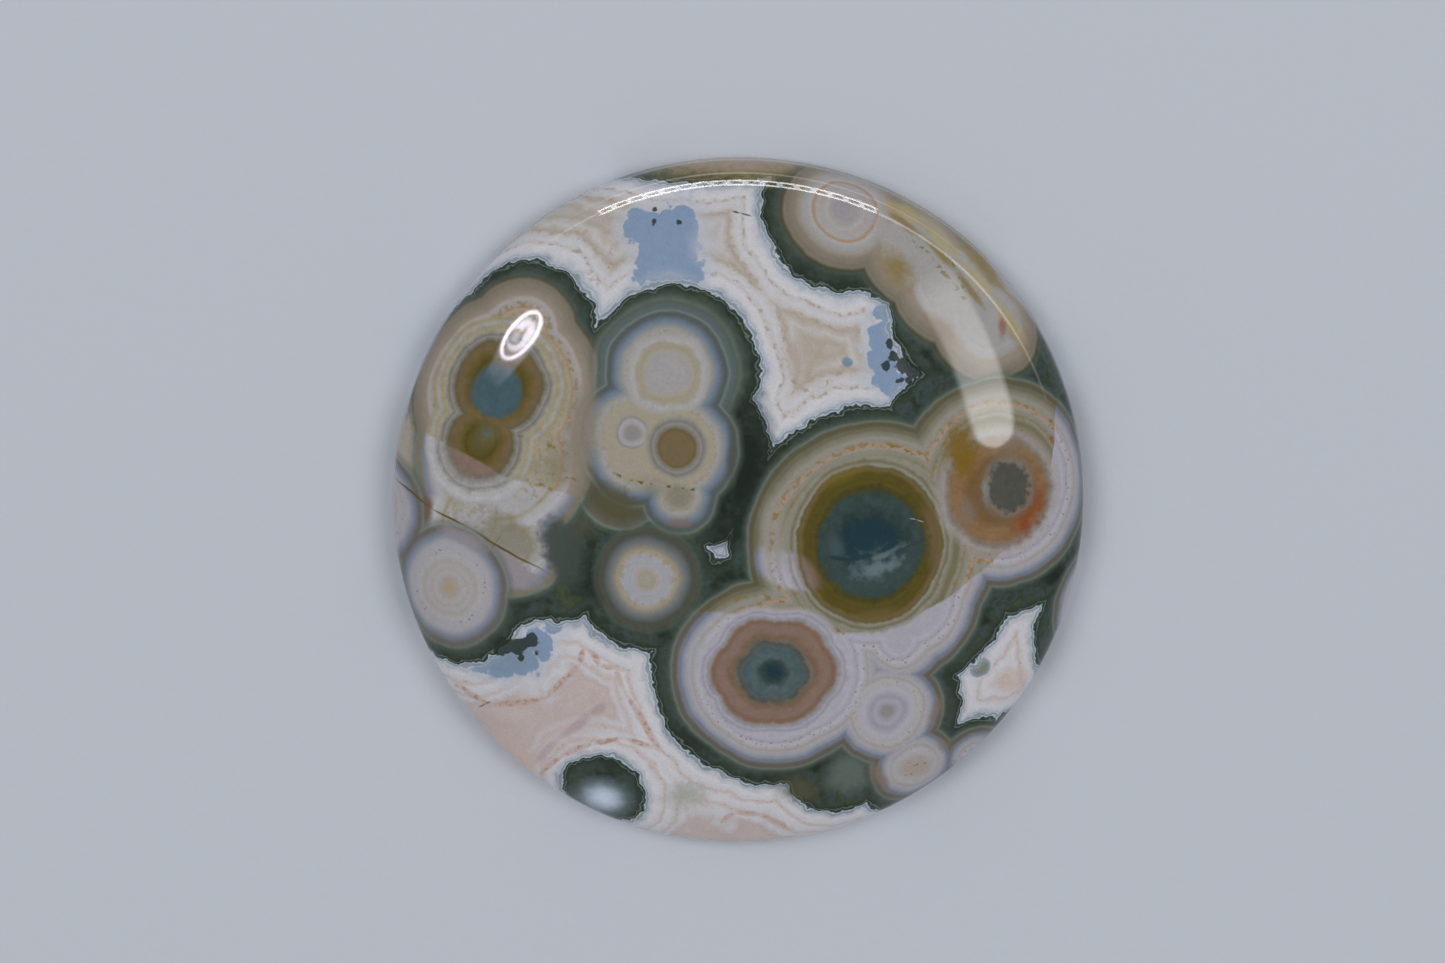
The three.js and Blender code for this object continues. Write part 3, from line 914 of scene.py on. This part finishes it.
    def noise(self, place: Any, size: float, detail: float = 2.0, roughness: float = 0.5) -> bpy.types.Node:
        """Noise whose patches are about a size across, in the units of the place."""
        return self.node(
            "ShaderNodeTexNoise", None,
            {"Vector": place, "Scale": 1 / size, "Detail": detail, "Roughness": roughness},
        )

    def bands(self, value: Num, size: float, seed: float) -> Num:
        """Noise along one number, for fine bands of about a size."""
        made = self.node(
            "ShaderNodeTexNoise",
            {"noise_dimensions": "1D"},
            {"W": value + seed, "Scale": 1 / size, "Detail": 2.0},
        )
        return Num(self, made.outputs[0])

    def cells(self, place: Any, size: float) -> Num:
        """Distance to the nearest of scattered points, which are about a size apart."""
        made = self.node("ShaderNodeTexVoronoi", None, {"Vector": place, "Scale": 1 / size})
        return Num(self, made.outputs["Distance"])


class JasperMaterial:
    """The solid pattern of the stone, as shader nodes."""

    def __init__(self, profile: Profile, polish: Polish) -> None:
        """Keeps the shape that the orbs sit in and the polish.

        Args:
            profile: gives the height of the face over each orb.
            polish: the roughness and refraction of the surface.
        """
        self.profile = profile
        self.polish = polish
        self.material = bpy.data.materials.new("orbicular_jasper")
        self.material.use_nodes = True
        self.net = Net(self.material.node_tree)

    def build(self) -> bpy.types.Material:
        """Writes the whole pattern and returns the material."""
        net = self.net
        coords = net.node("ShaderNodeTexCoord").outputs["Object"]
        self.place = net.node("ShaderNodeMapping", None, {"Vector": coords, "Scale": (1 / MM,) * 3}).outputs[0]
        self.cloud = Num(net, net.noise(self.place, 2.6, 3.0, 0.55).outputs["Fac"])
        self.curd = Num(net, net.noise(self.place, 0.55, 2.0, 0.6).outputs["Fac"])
        self.breaks = Num(net, net.noise(self.place, 0.38, 1.0, 0.5).outputs["Fac"])
        self.lobes = net.cells(self.place, 0.85) + net.cells(self.place, 0.3) * 0.3 - 0.6
        self.grains = net.smooth(net.cells(self.place, 0.3), 0.34, 0.2) * net.smooth(self.breaks, 0.4, 0.5)
        self.smears = net.smooth(self.breaks, 0.48, 0.62)
        self.bent = self.bend(self.place)
        self.above = self.stain_front()
        self.below = 1.0 - self.above

        green = self.nearest(GREEN_BALLS)
        colour = self.filling(green)
        for layer in FILLING_LAYERS:
            colour = self.lay(colour, layer)
        colour = self.ground(colour, green)
        for layer in GROUND_LAYERS + ORB_LAYERS + TOP_LAYERS:
            colour = self.lay(colour, layer)
        return self.surface(self.texture(colour))

    def bend(self, place: Any) -> bpy.types.NodeSocket:
        """The place, shifted a little by slow and quick noise, so that no ring is a perfect circle."""
        net = self.net
        slow, quick = net.noise(place, 3.2, 1.0).outputs["Color"], net.noise(place, 0.8, 1.0).outputs["Color"]
        shift = net.vector("MULTIPLY_ADD", slow, (0.5,) * 3, (-0.31,) * 3)
        shift = net.vector("MULTIPLY_ADD", quick, (0.12,) * 3, shift)
        return net.vector("ADD", place, shift)

    def nearest(self, balls: tuple[Ball, ...]) -> Num:
        """How far the place is outside the nearest ball; below zero inside one.

        Formula: the least of distance to the middle minus radius, over the balls.
        """
        net = self.net
        least = None
        for ball in balls:
            gap = net.measure("DISTANCE", self.bent, ball.centre(self.profile))
            if ball.radius:
                gap = gap - ball.radius
            least = gap if least is None else net.math("MINIMUM", least, gap)
        return least

    def stain_front(self) -> Num:
        """1 on the iron-stained side of the old waterline that crosses the orbs, 0 below it.

        Formula: the place's y minus the waterline's y at the same x, where the waterline is a
        row of straight stretches. A wedge left of the great orb stays unstained.
        """
        waterline = (
            (-23.0, 6.0), (-21.3, 5.1), (-18.7, 4.1), (-15.0, 2.2), (-13.6, 1.8), (-10.3, 0.8),
            (-6.2, 1.6), (-5.6, -5.6), (-2.6, -6.3), (-0.3, -6.5), (6.2, -7.9), (9.6, -7.6),
            (14.0, -5.3), (16.2, -3.4), (19.4, 0.2), (20.4, 4.4), (20.6, 23.0),
        )
        net = self.net
        half = 23.0
        points = [((x + half) / (2 * half), (y + half) / (2 * half)) for x, y in waterline]
        share = (net.axis(self.bent, 0) + half) * (1 / (2 * half))
        curve = net.node("ShaderNodeFloatCurve", {"points": [*points, (1.0, 1.0)]}, {"Value": share})
        front = Num(net, curve.outputs[0]) * (2 * half) - half
        gap = net.axis(self.bent, 1) - front
        stained = net.smooth(gap, -0.12, 0.12)
        wedge = self.oval(Patch("unstained wedge", 3.0, -3.7, 3.1, 1.4, WHITE, turn=-22, soft=0.4, ragged=0.2))
        return stained * (1.0 - wedge)

    def oval(self, patch: Patch) -> Num:
        """1 inside a patch's oval, falling smoothly to 0 at its edge.

        Formula: the place is brought to the oval's own axes and divided by its half axes, and
        the length of the result is 1 on the edge.
        """
        net = self.net
        local = net.local(self.bent, (patch.x, patch.y, 0.0), (patch.wide, patch.tall, 0.0), patch.turn)
        out = net.measure("LENGTH", local)
        if patch.ragged:
            out = out + (self.curd - 0.5) * (patch.ragged * 2)
        return net.smooth(out, 1.0, 1.0 - patch.soft)

    def side(self, mask: Num, side: Side) -> Num:
        """A mask, kept to one side of the waterline where it has one."""
        if side is Side.STAINED:
            return mask * self.above
        return mask * self.below if side is Side.CLEAN else mask

    def broken(self, mask: Num, mark: Mark) -> Num:
        """A mask, broken up into grains or smears."""
        if mark is Mark.GRAINS:
            return mask * self.grains
        return mask * self.smears if mark is Mark.SMEARS else mask

    def lay(self, colour: Any, layer: Growth | Patch | Seam) -> Any:
        """Lays a growth, a patch or a seam over the colour."""
        if isinstance(layer, Growth):
            return self.growth(colour, layer)
        if isinstance(layer, Patch):
            mask = self.side(self.oval(layer), layer.side) * layer.opacity
            return self.net.mix(colour, layer.tint.albedo(), mask)
        mask = self.seam(layer)
        if layer.veil:
            colour = self.net.mix(colour, layer.veil.albedo(), mask * 0.6)
        return self.net.mix(colour, layer.tint.albedo(), self.broken(mask, layer.mark) * layer.opacity)

    def seam(self, seam: Seam) -> Num:
        """1 on a row of straight stretches, falling smoothly to 0 at the half width.

        Formula: each stretch is a long thin oval, a third longer than the stretch so that it
        meets the next, and the least of the lengths in the ovals' own axes is 1 on the edge.
        """
        net = self.net
        least = None
        for (x1, y1), (x2, y2) in zip(seam.points, seam.points[1:]):
            half_length = math.hypot(x2 - x1, y2 - y1) / 2 * 1.35
            turn = math.degrees(math.atan2(y2 - y1, x2 - x1))
            middle = ((x1 + x2) / 2, (y1 + y2) / 2, 0.0)
            out = net.measure("LENGTH", net.local(self.bent, middle, (half_length, seam.half_width, 0.0), turn))
            least = out if least is None else net.math("MINIMUM", least, out)
        return net.smooth(least, 1.0, 0.3)

    def reach(self, growth: Growth) -> Num:
        """How far the place is outside a growth's balls.

        Formula: for one squeezed or petalled ball, the distance along the squeezed axes over one
        plus the petal depth times how far the size of the cosine is above its mean; otherwise the
        distance to the nearest ball.
        """
        net = self.net
        if not growth.petals and growth.wide == 1.0 and growth.tall == 1.0:
            out = self.nearest(growth.balls)
        else:
            ball = growth.balls[0]
            offset = net.local(self.bent, ball.centre(self.profile), (growth.wide, growth.tall, 1.0))
            out = net.measure("LENGTH", offset)
            if growth.petals:
                angle = net.math("ARCTAN2", net.axis(offset, 1), net.axis(offset, 0))
                wave = abs(net.math("COSINE", angle * (growth.petals / 2) + growth.petal_turn))
                out = out / ((wave - 2 / math.pi) * growth.petal_depth + 1.0)
        if growth.ragged:
            out = out + (self.curd - 0.5) * growth.ragged * 2
        return out

    def growth(self, colour: Any, growth: Growth) -> bpy.types.NodeSocket:
        """Lays one growth's rings and rows of marks over the colour.

        Args:
            colour: what lies under it.
            growth: its balls, rings and rows.

        Returns:
            The colour with the growth laid over it.
        """
        net = self.net
        out = net.math("MAXIMUM", self.reach(growth), growth.rings[0].out)
        tint, shown = net.ramp(out, growth.rings)
        if growth.clean_rings:
            clean, _ = net.ramp(out, growth.clean_rings)
            tint = net.mix(clean, tint, self.above)
        if growth.banding or growth.mottle:
            light = 1.0
            if growth.banding:
                light = (net.bands(out, 0.32, len(growth.name) * 3.7) - 0.5) * (2.4 * growth.banding) + 1.0
            if growth.mottle:
                light = light + (self.curd - 0.5) * (2.4 * growth.mottle)
            grey = net.node("ShaderNodeCombineColor", None, {0: light, 1: light, 2: light}).outputs[0]
            tint = net.mix(tint, grey, 1.0, "MULTIPLY")
        colour = net.mix(colour, tint, shown)
        for row in growth.rows:
            mask = self.side(self.broken(net.line(out, row.out, row.half_width), row.mark), row.side)
            colour = net.mix(colour, row.tint.albedo(), mask * row.opacity)
        return colour

    def filling(self, green: Num) -> bpy.types.NodeSocket:
        """The white and pink filling, banded by its distance from the green ground.

        Args:
            green: distance outside the green ground.

        Returns:
            The filling's colour, with the chalcedony in it.
        """
        net = self.net
        blue = self.nearest(CHALCEDONY_BALLS)
        bank = green + self.lobes * 0.25 + (self.cloud - 0.5) * 1.3 + (self.curd - 0.5) * 0.25
        upper, _ = net.ramp(bank, (
            Ring(-0.3, SLATE), Ring(0.1, SLATE), Ring(0.3, COOL_WHITE), Ring(0.6, MILK), Ring(1.0, BRIGHT_MILK),
            Ring(1.3, CHALK), Ring(1.6, MILK), Ring(2.0, CHALK), Ring(2.3, FAWN_WHITE), Ring(2.8, CHALK),
            Ring(3.4, FAWN_WHITE), Ring(4.4, CHALK), Ring(5.4, FAWN_WHITE)))
        lower, _ = net.ramp(bank, (
            Ring(-0.3, SLATE), Ring(0.1, SLATE), Ring(0.3, MILK), Ring(0.7, BRIGHT_MILK), Ring(1.1, MILK),
            Ring(1.3, CREAM_PINK), Ring(1.6, BRIGHT_MILK), Ring(2.0, MILK), Ring(2.3, CREAM_PINK), Ring(2.6, MILK),
            Ring(3.0, ROSE), Ring(3.4, CREAM_PINK), Ring(4.0, ROSE), Ring(5.0, CREAM_PINK)))
        low = net.smooth(net.axis(self.bent, 1), -3.0, -7.0)
        colour = net.mix(upper, lower, low)
        rows = net.math("MAXIMUM", net.line(bank, 1.25, 0.16), net.line(bank, 2.2, 0.22) * 0.7)
        marks = self.smears * (1.0 - low) * 0.7 + self.grains * low * 0.5
        colour = net.mix(colour, net.mix(FAWN_DOT.albedo(), RUST.albedo(), low), rows * marks)
        edge = blue + self.lobes * 0.9
        colour = net.mix(colour, COOL_WHITE.albedo(), net.smooth(edge, 1.1, 0.1) * 0.7)
        return net.mix(colour, CHALCEDONY.albedo(), net.smooth(edge, 0.1, -0.08))

    def ground(self, colour: Any, green: Num) -> bpy.types.NodeSocket:
        """The dark green ground with its ragged rim of thin agate lines.

        Args:
            colour: what lies under it.
            green: distance outside the green ground.

        Returns:
            The colour with the ground laid over it.
        """
        net = self.net
        ragged = green + self.lobes * 0.42 + (self.breaks - 0.5) * 0.2
        mottle, _ = net.ramp(self.cloud + (self.curd - 0.5) * 0.35, (
            Ring(0.25, DARK_POOL), Ring(0.38, BLACK_GREEN), Ring(0.46, DARK_GREEN), Ring(0.53, TEAL_GROUND),
            Ring(0.6, DARK_GREEN), Ring(0.7, MOSS), Ring(0.85, TEAL_GROUND)))
        colour = net.mix(colour, mottle, net.smooth(ragged, 0.02, -0.02))
        rim, shown = net.ramp(ragged, (
            Ring(-1.1, GREY_GREEN, 0.0), Ring(-0.5, DARK_GREEN, 0.5), Ring(-0.26, BLACK_GREEN, 0.8),
            Ring(-0.19, PALE_LINE, 0.75), Ring(-0.13, BLACK_GREEN, 0.85), Ring(-0.03, TEAL_GROUND),
            Ring(0.03, BLUE_LINE), Ring(0.09, SLATE), Ring(0.2, SLATE, 0.7), Ring(0.26, BLUE_LINE, 0.6),
            Ring(0.34, SLATE, 0.4), Ring(0.7, COOL_WHITE, 0.0)))
        colour = net.mix(colour, rim, shown)
        drops = self.nearest(DROPS) + self.lobes * 0.45 + (self.breaks - 0.5) * 0.3
        return net.mix(colour, BLACK_GREEN.albedo(), net.smooth(drops, 0.05, -0.05) * 0.9)

    def texture(self, colour: Any) -> bpy.types.NodeSocket:
        """Fine grain over the whole pattern."""
        net = self.net
        grain = Num(net, net.noise(self.place, 0.13, 2.0, 0.6).outputs["Fac"])
        value = grain * 0.3 + (self.breaks - 0.5) * 0.1 + 0.85
        grey = net.node("ShaderNodeCombineColor", None, {0: value, 1: value, 2: value}).outputs[0]
        return net.mix(colour, grey, 1.0, "MULTIPLY")

    def surface(self, colour: Any) -> bpy.types.Material:
        """Feeds the colour and the polish to the shader.

        Args:
            colour: the finished pattern.

        Returns:
            The material.
        """
        net = self.net
        polish = self.polish
        back = net.smooth(net.axis(self.place, 2), 0.35, 0.1)
        roughness = back * (polish.back_roughness - polish.face_roughness) + polish.face_roughness
        wave = net.noise(self.place, polish.wave_size, 1.0).outputs["Fac"]
        bump = net.node(
            "ShaderNodeBump", None,
            {"Height": wave, "Strength": 1.0, "Distance": polish.wave_height * MM},
        )
        shader = net.node(
            "ShaderNodeBsdfPrincipled", None,
            {"Base Color": colour, "Roughness": roughness, "IOR": polish.refraction, "Normal": bump.outputs[0]},
        )
        net.node("ShaderNodeOutputMaterial", None, {"Surface": shader.outputs[0]})
        return self.material


@dataclass
class Stone:
    """The polished stone, as one closed surface."""

    profile: Profile
    around: int = 384

    def points(self) -> tuple[np.ndarray, int]:
        """Every point of the surface, in millimetres.

        Formula: at each angle the section's outward distance, times the outline's stretch, goes
        along that direction, and its height goes up. The first and last points of the section
        lie on the axis and are one point each.

        Returns:
            Points as rows of (x, y, z), with the two poles last, and the number of rings.
        """
        section = self.profile.section()
        rings = section[1:-1]
        angle = np.linspace(0, 2 * np.pi, self.around, endpoint=False)
        stretch = self.profile.outline(angle)
        x = rings[:, 0][:, None] * (stretch * np.cos(angle))[None, :]
        y = rings[:, 0][:, None] * (stretch * np.sin(angle))[None, :]
        z = np.broadcast_to(rings[:, 1][:, None], x.shape)
        body = np.stack([x, y, z], axis=-1).reshape(-1, 3)
        poles = np.array([[0.0, 0.0, section[0, 1]], [0.0, 0.0, section[-1, 1]]])
        return np.vstack([body, poles]), len(rings)

    def faces(self, rings: int) -> list[list[int]]:
        """Quads between neighbouring rings and a fan at each pole, facing outwards."""
        column = np.arange(self.around)
        following = (column + 1) % self.around
        row = np.arange(rings - 1)[:, None] * self.around
        quads = np.stack([row + column, row + following, row + self.around + following,
                          row + self.around + column], axis=-1).reshape(-1, 4)
        low_pole = rings * self.around
        last = (rings - 1) * self.around
        low = np.column_stack([following, column, np.full(self.around, low_pole)])
        high = np.column_stack([last + column, last + following, np.full(self.around, low_pole + 1)])
        return quads.tolist() + low.tolist() + high.tolist()

    def build(self, polish: Polish) -> bpy.types.Object:
        """Makes the mesh, dresses it and puts it in the place of the CAD stone."""
        points, rings = self.points()
        mesh = bpy.data.meshes.new("stone")
        mesh.from_pydata((points * MM).tolist(), [], self.faces(rings))
        mesh.shade_smooth()
        mesh.materials.append(JasperMaterial(self.profile, polish).build())
        stone = bpy.data.objects.new("stone", mesh)
        bpy.context.scene.collection.objects.link(stone)
        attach(stone, BODY)
        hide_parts(NODE)
        return stone


@dataclass
class Camera:
    """The camera at the photo's angle to the face, a little above the stone's own axis."""

    lens: float = 100.0
    film_width: float = 36.0
    distance: float = 261.3
    tilt: float = 6.0
    aim: tuple[float, float, float] = (-1.07, 1.33, 1.2)

    def place(self) -> np.ndarray:
        """Where the camera stands."""
        tilt = math.radians(self.tilt)
        return np.array(self.aim) + np.array([0.0, math.sin(tilt), math.cos(tilt)]) * self.distance

    def build(self) -> None:
        """Adds the camera and makes it the scene's own."""
        data = bpy.data.cameras.new("camera")
        data.lens = self.lens
        data.sensor_width = self.film_width
        data.clip_start = 0.01
        data.clip_end = 10.0
        camera = bpy.data.objects.new("camera", data)
        bpy.context.scene.collection.objects.link(camera)
        camera.location = (self.place() * MM).tolist()
        camera.rotation_euler = (-math.radians(self.tilt), 0.0, 0.0)
        bpy.context.scene.camera = camera


@dataclass
class Panel:
    """A light panel, shaped so that the camera sees it mirrored along a path on the face."""

    name: str
    path: Path
    half_width: Callable[[np.ndarray], np.ndarray]
    glow: Glow
    radiance: float
    along: int = 60
    across: int = 9
    distance: float = 420.0
    tint: tuple[float, float, float] = (1.0, 1.0, 1.0)

    def points(self, u: np.ndarray, v: np.ndarray, profile: Profile, camera: Camera) -> np.ndarray:
        """The panel's points, in millimetres.

        Formula: the place on the face is the path's point plus the share across, times the half
        width, along the path's normal. The view ray to it is mirrored in the dome's normal, and
        the panel's point lies the panel's distance along the mirrored ray.

        Args:
            u: the share along the path.
            v: the share across it, from -1 to 1.
            profile: the dome.
            camera: where the face is seen from.

        Returns:
            Points as rows of (x, y, z).
        """
        x, y = self.path(u)
        along_x, along_y = np.gradient(x, axis=0), np.gradient(y, axis=0)
        size = np.hypot(along_x, along_y)
        width = self.half_width(u) * v
        x, y = x - along_y / size * width, y + along_x / size * width
        share = np.clip(np.hypot(x, y) / profile.dome_radius, 0, 0.999)
        lift = np.sqrt(1 - share**2)
        spot = np.stack([x, y, profile.girdle_height + profile.dome_rise * lift], axis=-1)
        normal = np.stack([x / profile.dome_radius**2, y / profile.dome_radius**2, lift / profile.dome_rise], axis=-1)
        normal /= np.linalg.norm(normal, axis=-1, keepdims=True)
        ray = spot - camera.place()
        ray /= np.linalg.norm(ray, axis=-1, keepdims=True)
        mirrored = ray - 2 * np.sum(ray * normal, axis=-1, keepdims=True) * normal
        return (spot + mirrored * self.distance).reshape(-1, 3)

    def build(self, profile: Profile, camera: Camera) -> None:
        """Makes the panel as a grid and lights it."""
        u, v = np.meshgrid(np.linspace(0, 1, self.along), np.linspace(-1, 1, self.across), indexing="ij")
        first = np.arange(self.along - 1)[:, None] * self.across + np.arange(self.across - 1)[None, :]
        faces = np.stack([first, first + 1, first + self.across + 1, first + self.across], axis=-1)
        mesh = bpy.data.meshes.new(self.name)
        points = self.points(u, v, profile, camera) * MM
        mesh.from_pydata(points.tolist(), [], faces.reshape(-1, 4).tolist())
        glow = mesh.attributes.new("glow", "FLOAT", "POINT")
        glow.data.foreach_set("value", self.glow(u, v).reshape(-1).astype(np.float32))
        mesh.materials.append(self.material())
        panel = bpy.data.objects.new(self.name, mesh)
        bpy.context.scene.collection.objects.link(panel)
        panel.visible_camera = False
        panel.visible_diffuse = False
        panel.visible_shadow = False

    def material(self) -> bpy.types.Material:
        """A glowing face whose brightness follows the panel's own glow."""
        material = bpy.data.materials.new(self.name)
        material.use_nodes = True
        net = Net(material.node_tree)
        glow = Num(net, net.node("ShaderNodeAttribute", {"attribute_name": "glow"}).outputs["Fac"])
        red, green, blue = (glow * share for share in self.tint)
        light = net.node("ShaderNodeCombineColor", None, {0: red, 1: green, 2: blue}).outputs[0]
        emission = net.node("ShaderNodeEmission", None, {"Color": light, "Strength": self.radiance})
        net.node("ShaderNodeOutputMaterial", None, {"Surface": emission.outputs[0]})
        return material


def bezier(points: tuple[tuple[float, float], ...]) -> Path:
    """A path through three control points, weighted (1 - u) squared, 2 u (1 - u), u squared."""
    (x0, y0), (x1, y1), (x2, y2) = points

    def path(u: np.ndarray) -> tuple[np.ndarray, np.ndarray]:
        """The place at each share of the path."""
        a, b, c = (1 - u) ** 2, 2 * u * (1 - u), u**2
        return a * x0 + b * x1 + c * x2, a * y0 + b * y1 + c * y2

    return path


def arc(radius: float, start: float, end: float) -> Path:
    """A path round the axis, from one angle to another in degrees, clockwise from +Y."""

    def path(u: np.ndarray) -> tuple[np.ndarray, np.ndarray]:
        """The place at each share of the path."""
        angle = np.radians(start + (end - start) * u)
        return radius * np.sin(angle), radius * np.cos(angle)

    return path


def oval_path(x: float, y: float, long: float, short: float, turn: float) -> Path:
    """An oval path about a point, with its half axes and its turn in degrees."""
    turn = math.radians(turn)

    def path(u: np.ndarray) -> tuple[np.ndarray, np.ndarray]:
        """The place at each share of the path."""
        a, b = long * np.cos(2 * np.pi * u), short * np.sin(2 * np.pi * u)
        return x + a * math.cos(turn) - b * math.sin(turn), y + a * math.sin(turn) + b * math.cos(turn)

    return path


def soft_ends(start: float, end: float) -> Glow:
    """A glow that fades in over a first share of the path, out over a last one, and at both sides."""

    def glow(u: np.ndarray, v: np.ndarray) -> np.ndarray:
        """The brightness at each point."""
        fade_in = np.clip(u / max(start, 0.001), 0, 1)
        fade_out = np.clip((1 - u) / max(end, 0.001), 0, 1)
        return fade_in * fade_out * np.clip((1 - np.abs(v)) * 5, 0, 1)

    return glow


def chain_glow(links: int) -> Glow:
    """The outlines of a row of long links."""

    def glow(u: np.ndarray, v: np.ndarray) -> np.ndarray:
        """The brightness at each point."""
        step = (u * links + v * 0.12) % 1.0
        rails = (np.abs(v) > 0.45) & (np.abs(v) < 0.95)
        ends = (np.abs(step - 0.5) > 0.36) & (np.abs(v) < 0.95)
        gap = np.abs(step - 0.5) > 0.47
        return ((rails | ends) & ~gap).astype(float)

    return glow


@dataclass
class Studio:
    """The plain floor, the lights and the camera."""

    floor_size: float = 1200.0
    floor_tint: Tint = Tint(175, 179, 187)

    def floor(self) -> None:
        """A pale, softly rough floor that the stone lies on."""
        half = self.floor_size / 2 * MM
        mesh = bpy.data.meshes.new("floor")
        mesh.from_pydata([(-half, -half, 0), (half, -half, 0), (half, half, 0), (-half, half, 0)], [], [(0, 1, 2, 3)])
        material = bpy.data.materials.new("floor_paper")
        material.use_nodes = True
        net = Net(material.node_tree)
        coords = net.node("ShaderNodeTexCoord").outputs["Object"]
        fibre = net.noise(coords, 0.0012, 3.0, 0.6).outputs["Fac"]
        bump = net.node("ShaderNodeBump", None, {"Height": fibre, "Strength": 0.25, "Distance": 0.0002})
        shader = net.node("ShaderNodeBsdfPrincipled", None, {
            "Base Color": self.floor_tint.albedo(), "Roughness": 0.75, "Normal": bump.outputs[0]})
        net.node("ShaderNodeOutputMaterial", None, {"Surface": shader.outputs[0]})
        mesh.materials.append(material)
        floor = bpy.data.objects.new("floor", mesh)
        bpy.context.scene.collection.objects.link(floor)

    def soft_light(self, name: str, toward: tuple[float, float, float], distance: float,
                   size: float, irradiance: float) -> None:
        """Adds a broad light that faces the stone and has no image in its polish.

        Args:
            name: the light's name.
            toward: the direction from the stone to the light.
            distance: how far away it is.
            size: its width and height.
            irradiance: what it adds on a face turned to it; white paper in full light is 1.
        """
        way = Vector(toward).normalized()
        data = bpy.data.lights.new(name, "AREA")
        data.size = size * MM
        data.energy = irradiance * math.pi * (math.pi * (distance * MM) ** 2)
        lamp = bpy.data.objects.new(name, data)
        bpy.context.scene.collection.objects.link(lamp)
        lamp.location = way * distance * MM
        lamp.rotation_mode = "QUATERNION"
        lamp.rotation_quaternion = way.to_track_quat("Z", "Y")
        lamp.visible_camera = False
        lamp.visible_glossy = False

    def lights(self, profile: Profile, camera: Camera) -> None:
        """A soft surround, two broad lights, and the panels that the polish mirrors."""
        world = bpy.data.worlds.new("surround")
        bpy.context.scene.world = world
        world.use_nodes = True
        background = world.node_tree.nodes["Background"]
        background.inputs["Color"].default_value = (0.94, 0.97, 1.0, 1.0)
        background.inputs["Strength"].default_value = 0.31
        self.soft_light("left_light", (-0.45, 0.16, 0.85), 700, 320, 0.235)
        self.soft_light("right_light", (0.5, 0.08, 0.85), 700, 320, 0.235)
        for panel in self.panels():
            panel.build(profile, camera)

    def panels(self) -> tuple[Panel, ...]:
        """The window on the right, the lamp at the upper left and the strip above."""
        lamp = (-13.88, 11.2)
        violet = (0.93, 0.88, 1.06)
        return (
            Panel("window", bezier(((11.4, 15.5), (15.35, 10.5), (16.5, 3.9))),
                  lambda u: 1.62 * np.sqrt(np.clip(1 - (2 * u - 1) ** 10, 0.02, 1)),
                  lambda u, v: (0.38 + 0.62 * u**2) * np.clip(u / 0.2, 0, 1) * np.clip((1 - np.abs(v)) * 6, 0, 1),
                  6.8),
            Panel("lamp_rim", oval_path(*lamp, 1.75, 0.78, 52), lambda u: 0.14 + 0 * u,
                  lambda u, v: np.clip((1 - np.abs(v)) * 2, 0, 1), 26.0, along=73, distance=380.0, tint=violet),
            Panel("lamp_face", oval_path(*lamp, 0.9, 0.4, 52), lambda u: 0.42 + 0 * u,
                  lambda u, v: np.clip((1 - np.abs(v)) * 1.6, 0, 1), 16.0, along=49, distance=400.0, tint=violet),
            Panel("lamp_spot", oval_path(lamp[0] - 0.35, lamp[1] - 0.1, 0.3, 0.2, 52), lambda u: 0.24 + 0 * u,
                  lambda u, v: np.clip((v + 1) / 2, 0, 1), 10.0, along=33, distance=390.0, tint=violet),
            Panel("lamp_tail", bezier(((-13.5, 11.8), (-14.6, 9.8), (-16.0, 8.0))),
                  lambda u: 1.2 - 0.5 * u, soft_ends(0.3, 0.9), 6.0, tint=violet),
            Panel("strip", arc(20.95, -25, 24), lambda u: 0.18 + 0 * u, chain_glow(17), 13.0, along=409, across=21),
            Panel("strip_left", arc(20.95, -46, -25), lambda u: 0.06 + 0 * u, soft_ends(1.0, 0.0), 3.0),
            Panel("strip_right", arc(20.85, 24, 76), lambda u: 0.08 + 0 * u, soft_ends(0.0, 0.5), 4.0),
            Panel("strip_outer", arc(21.55, -40, 60), lambda u: 0.06 + 0 * u, soft_ends(0.3, 0.6), 2.5),
        )

    def build(self, profile: Profile) -> None:
        """Sets up everything that isn't the stone."""
        camera = Camera()
        camera.build()
        self.floor()
        self.lights(profile, camera)
        bpy.context.scene.view_settings.view_transform = "Standard"


def main() -> None:
    """Builds the studio and the stone, and reports each piece."""
    logging.basicConfig(level=logging.INFO, format="%(name)s: %(message)s")
    profile = Profile()
    Studio().build(profile)
    LOG.info("studio: floor, lights and camera")
    stone = Stone(profile).build(Polish())
    LOG.info("stone: %d faces, %d shader nodes", len(stone.data.polygons),
             len(stone.data.materials[0].node_tree.nodes))


if __name__ == "__main__":
    main()
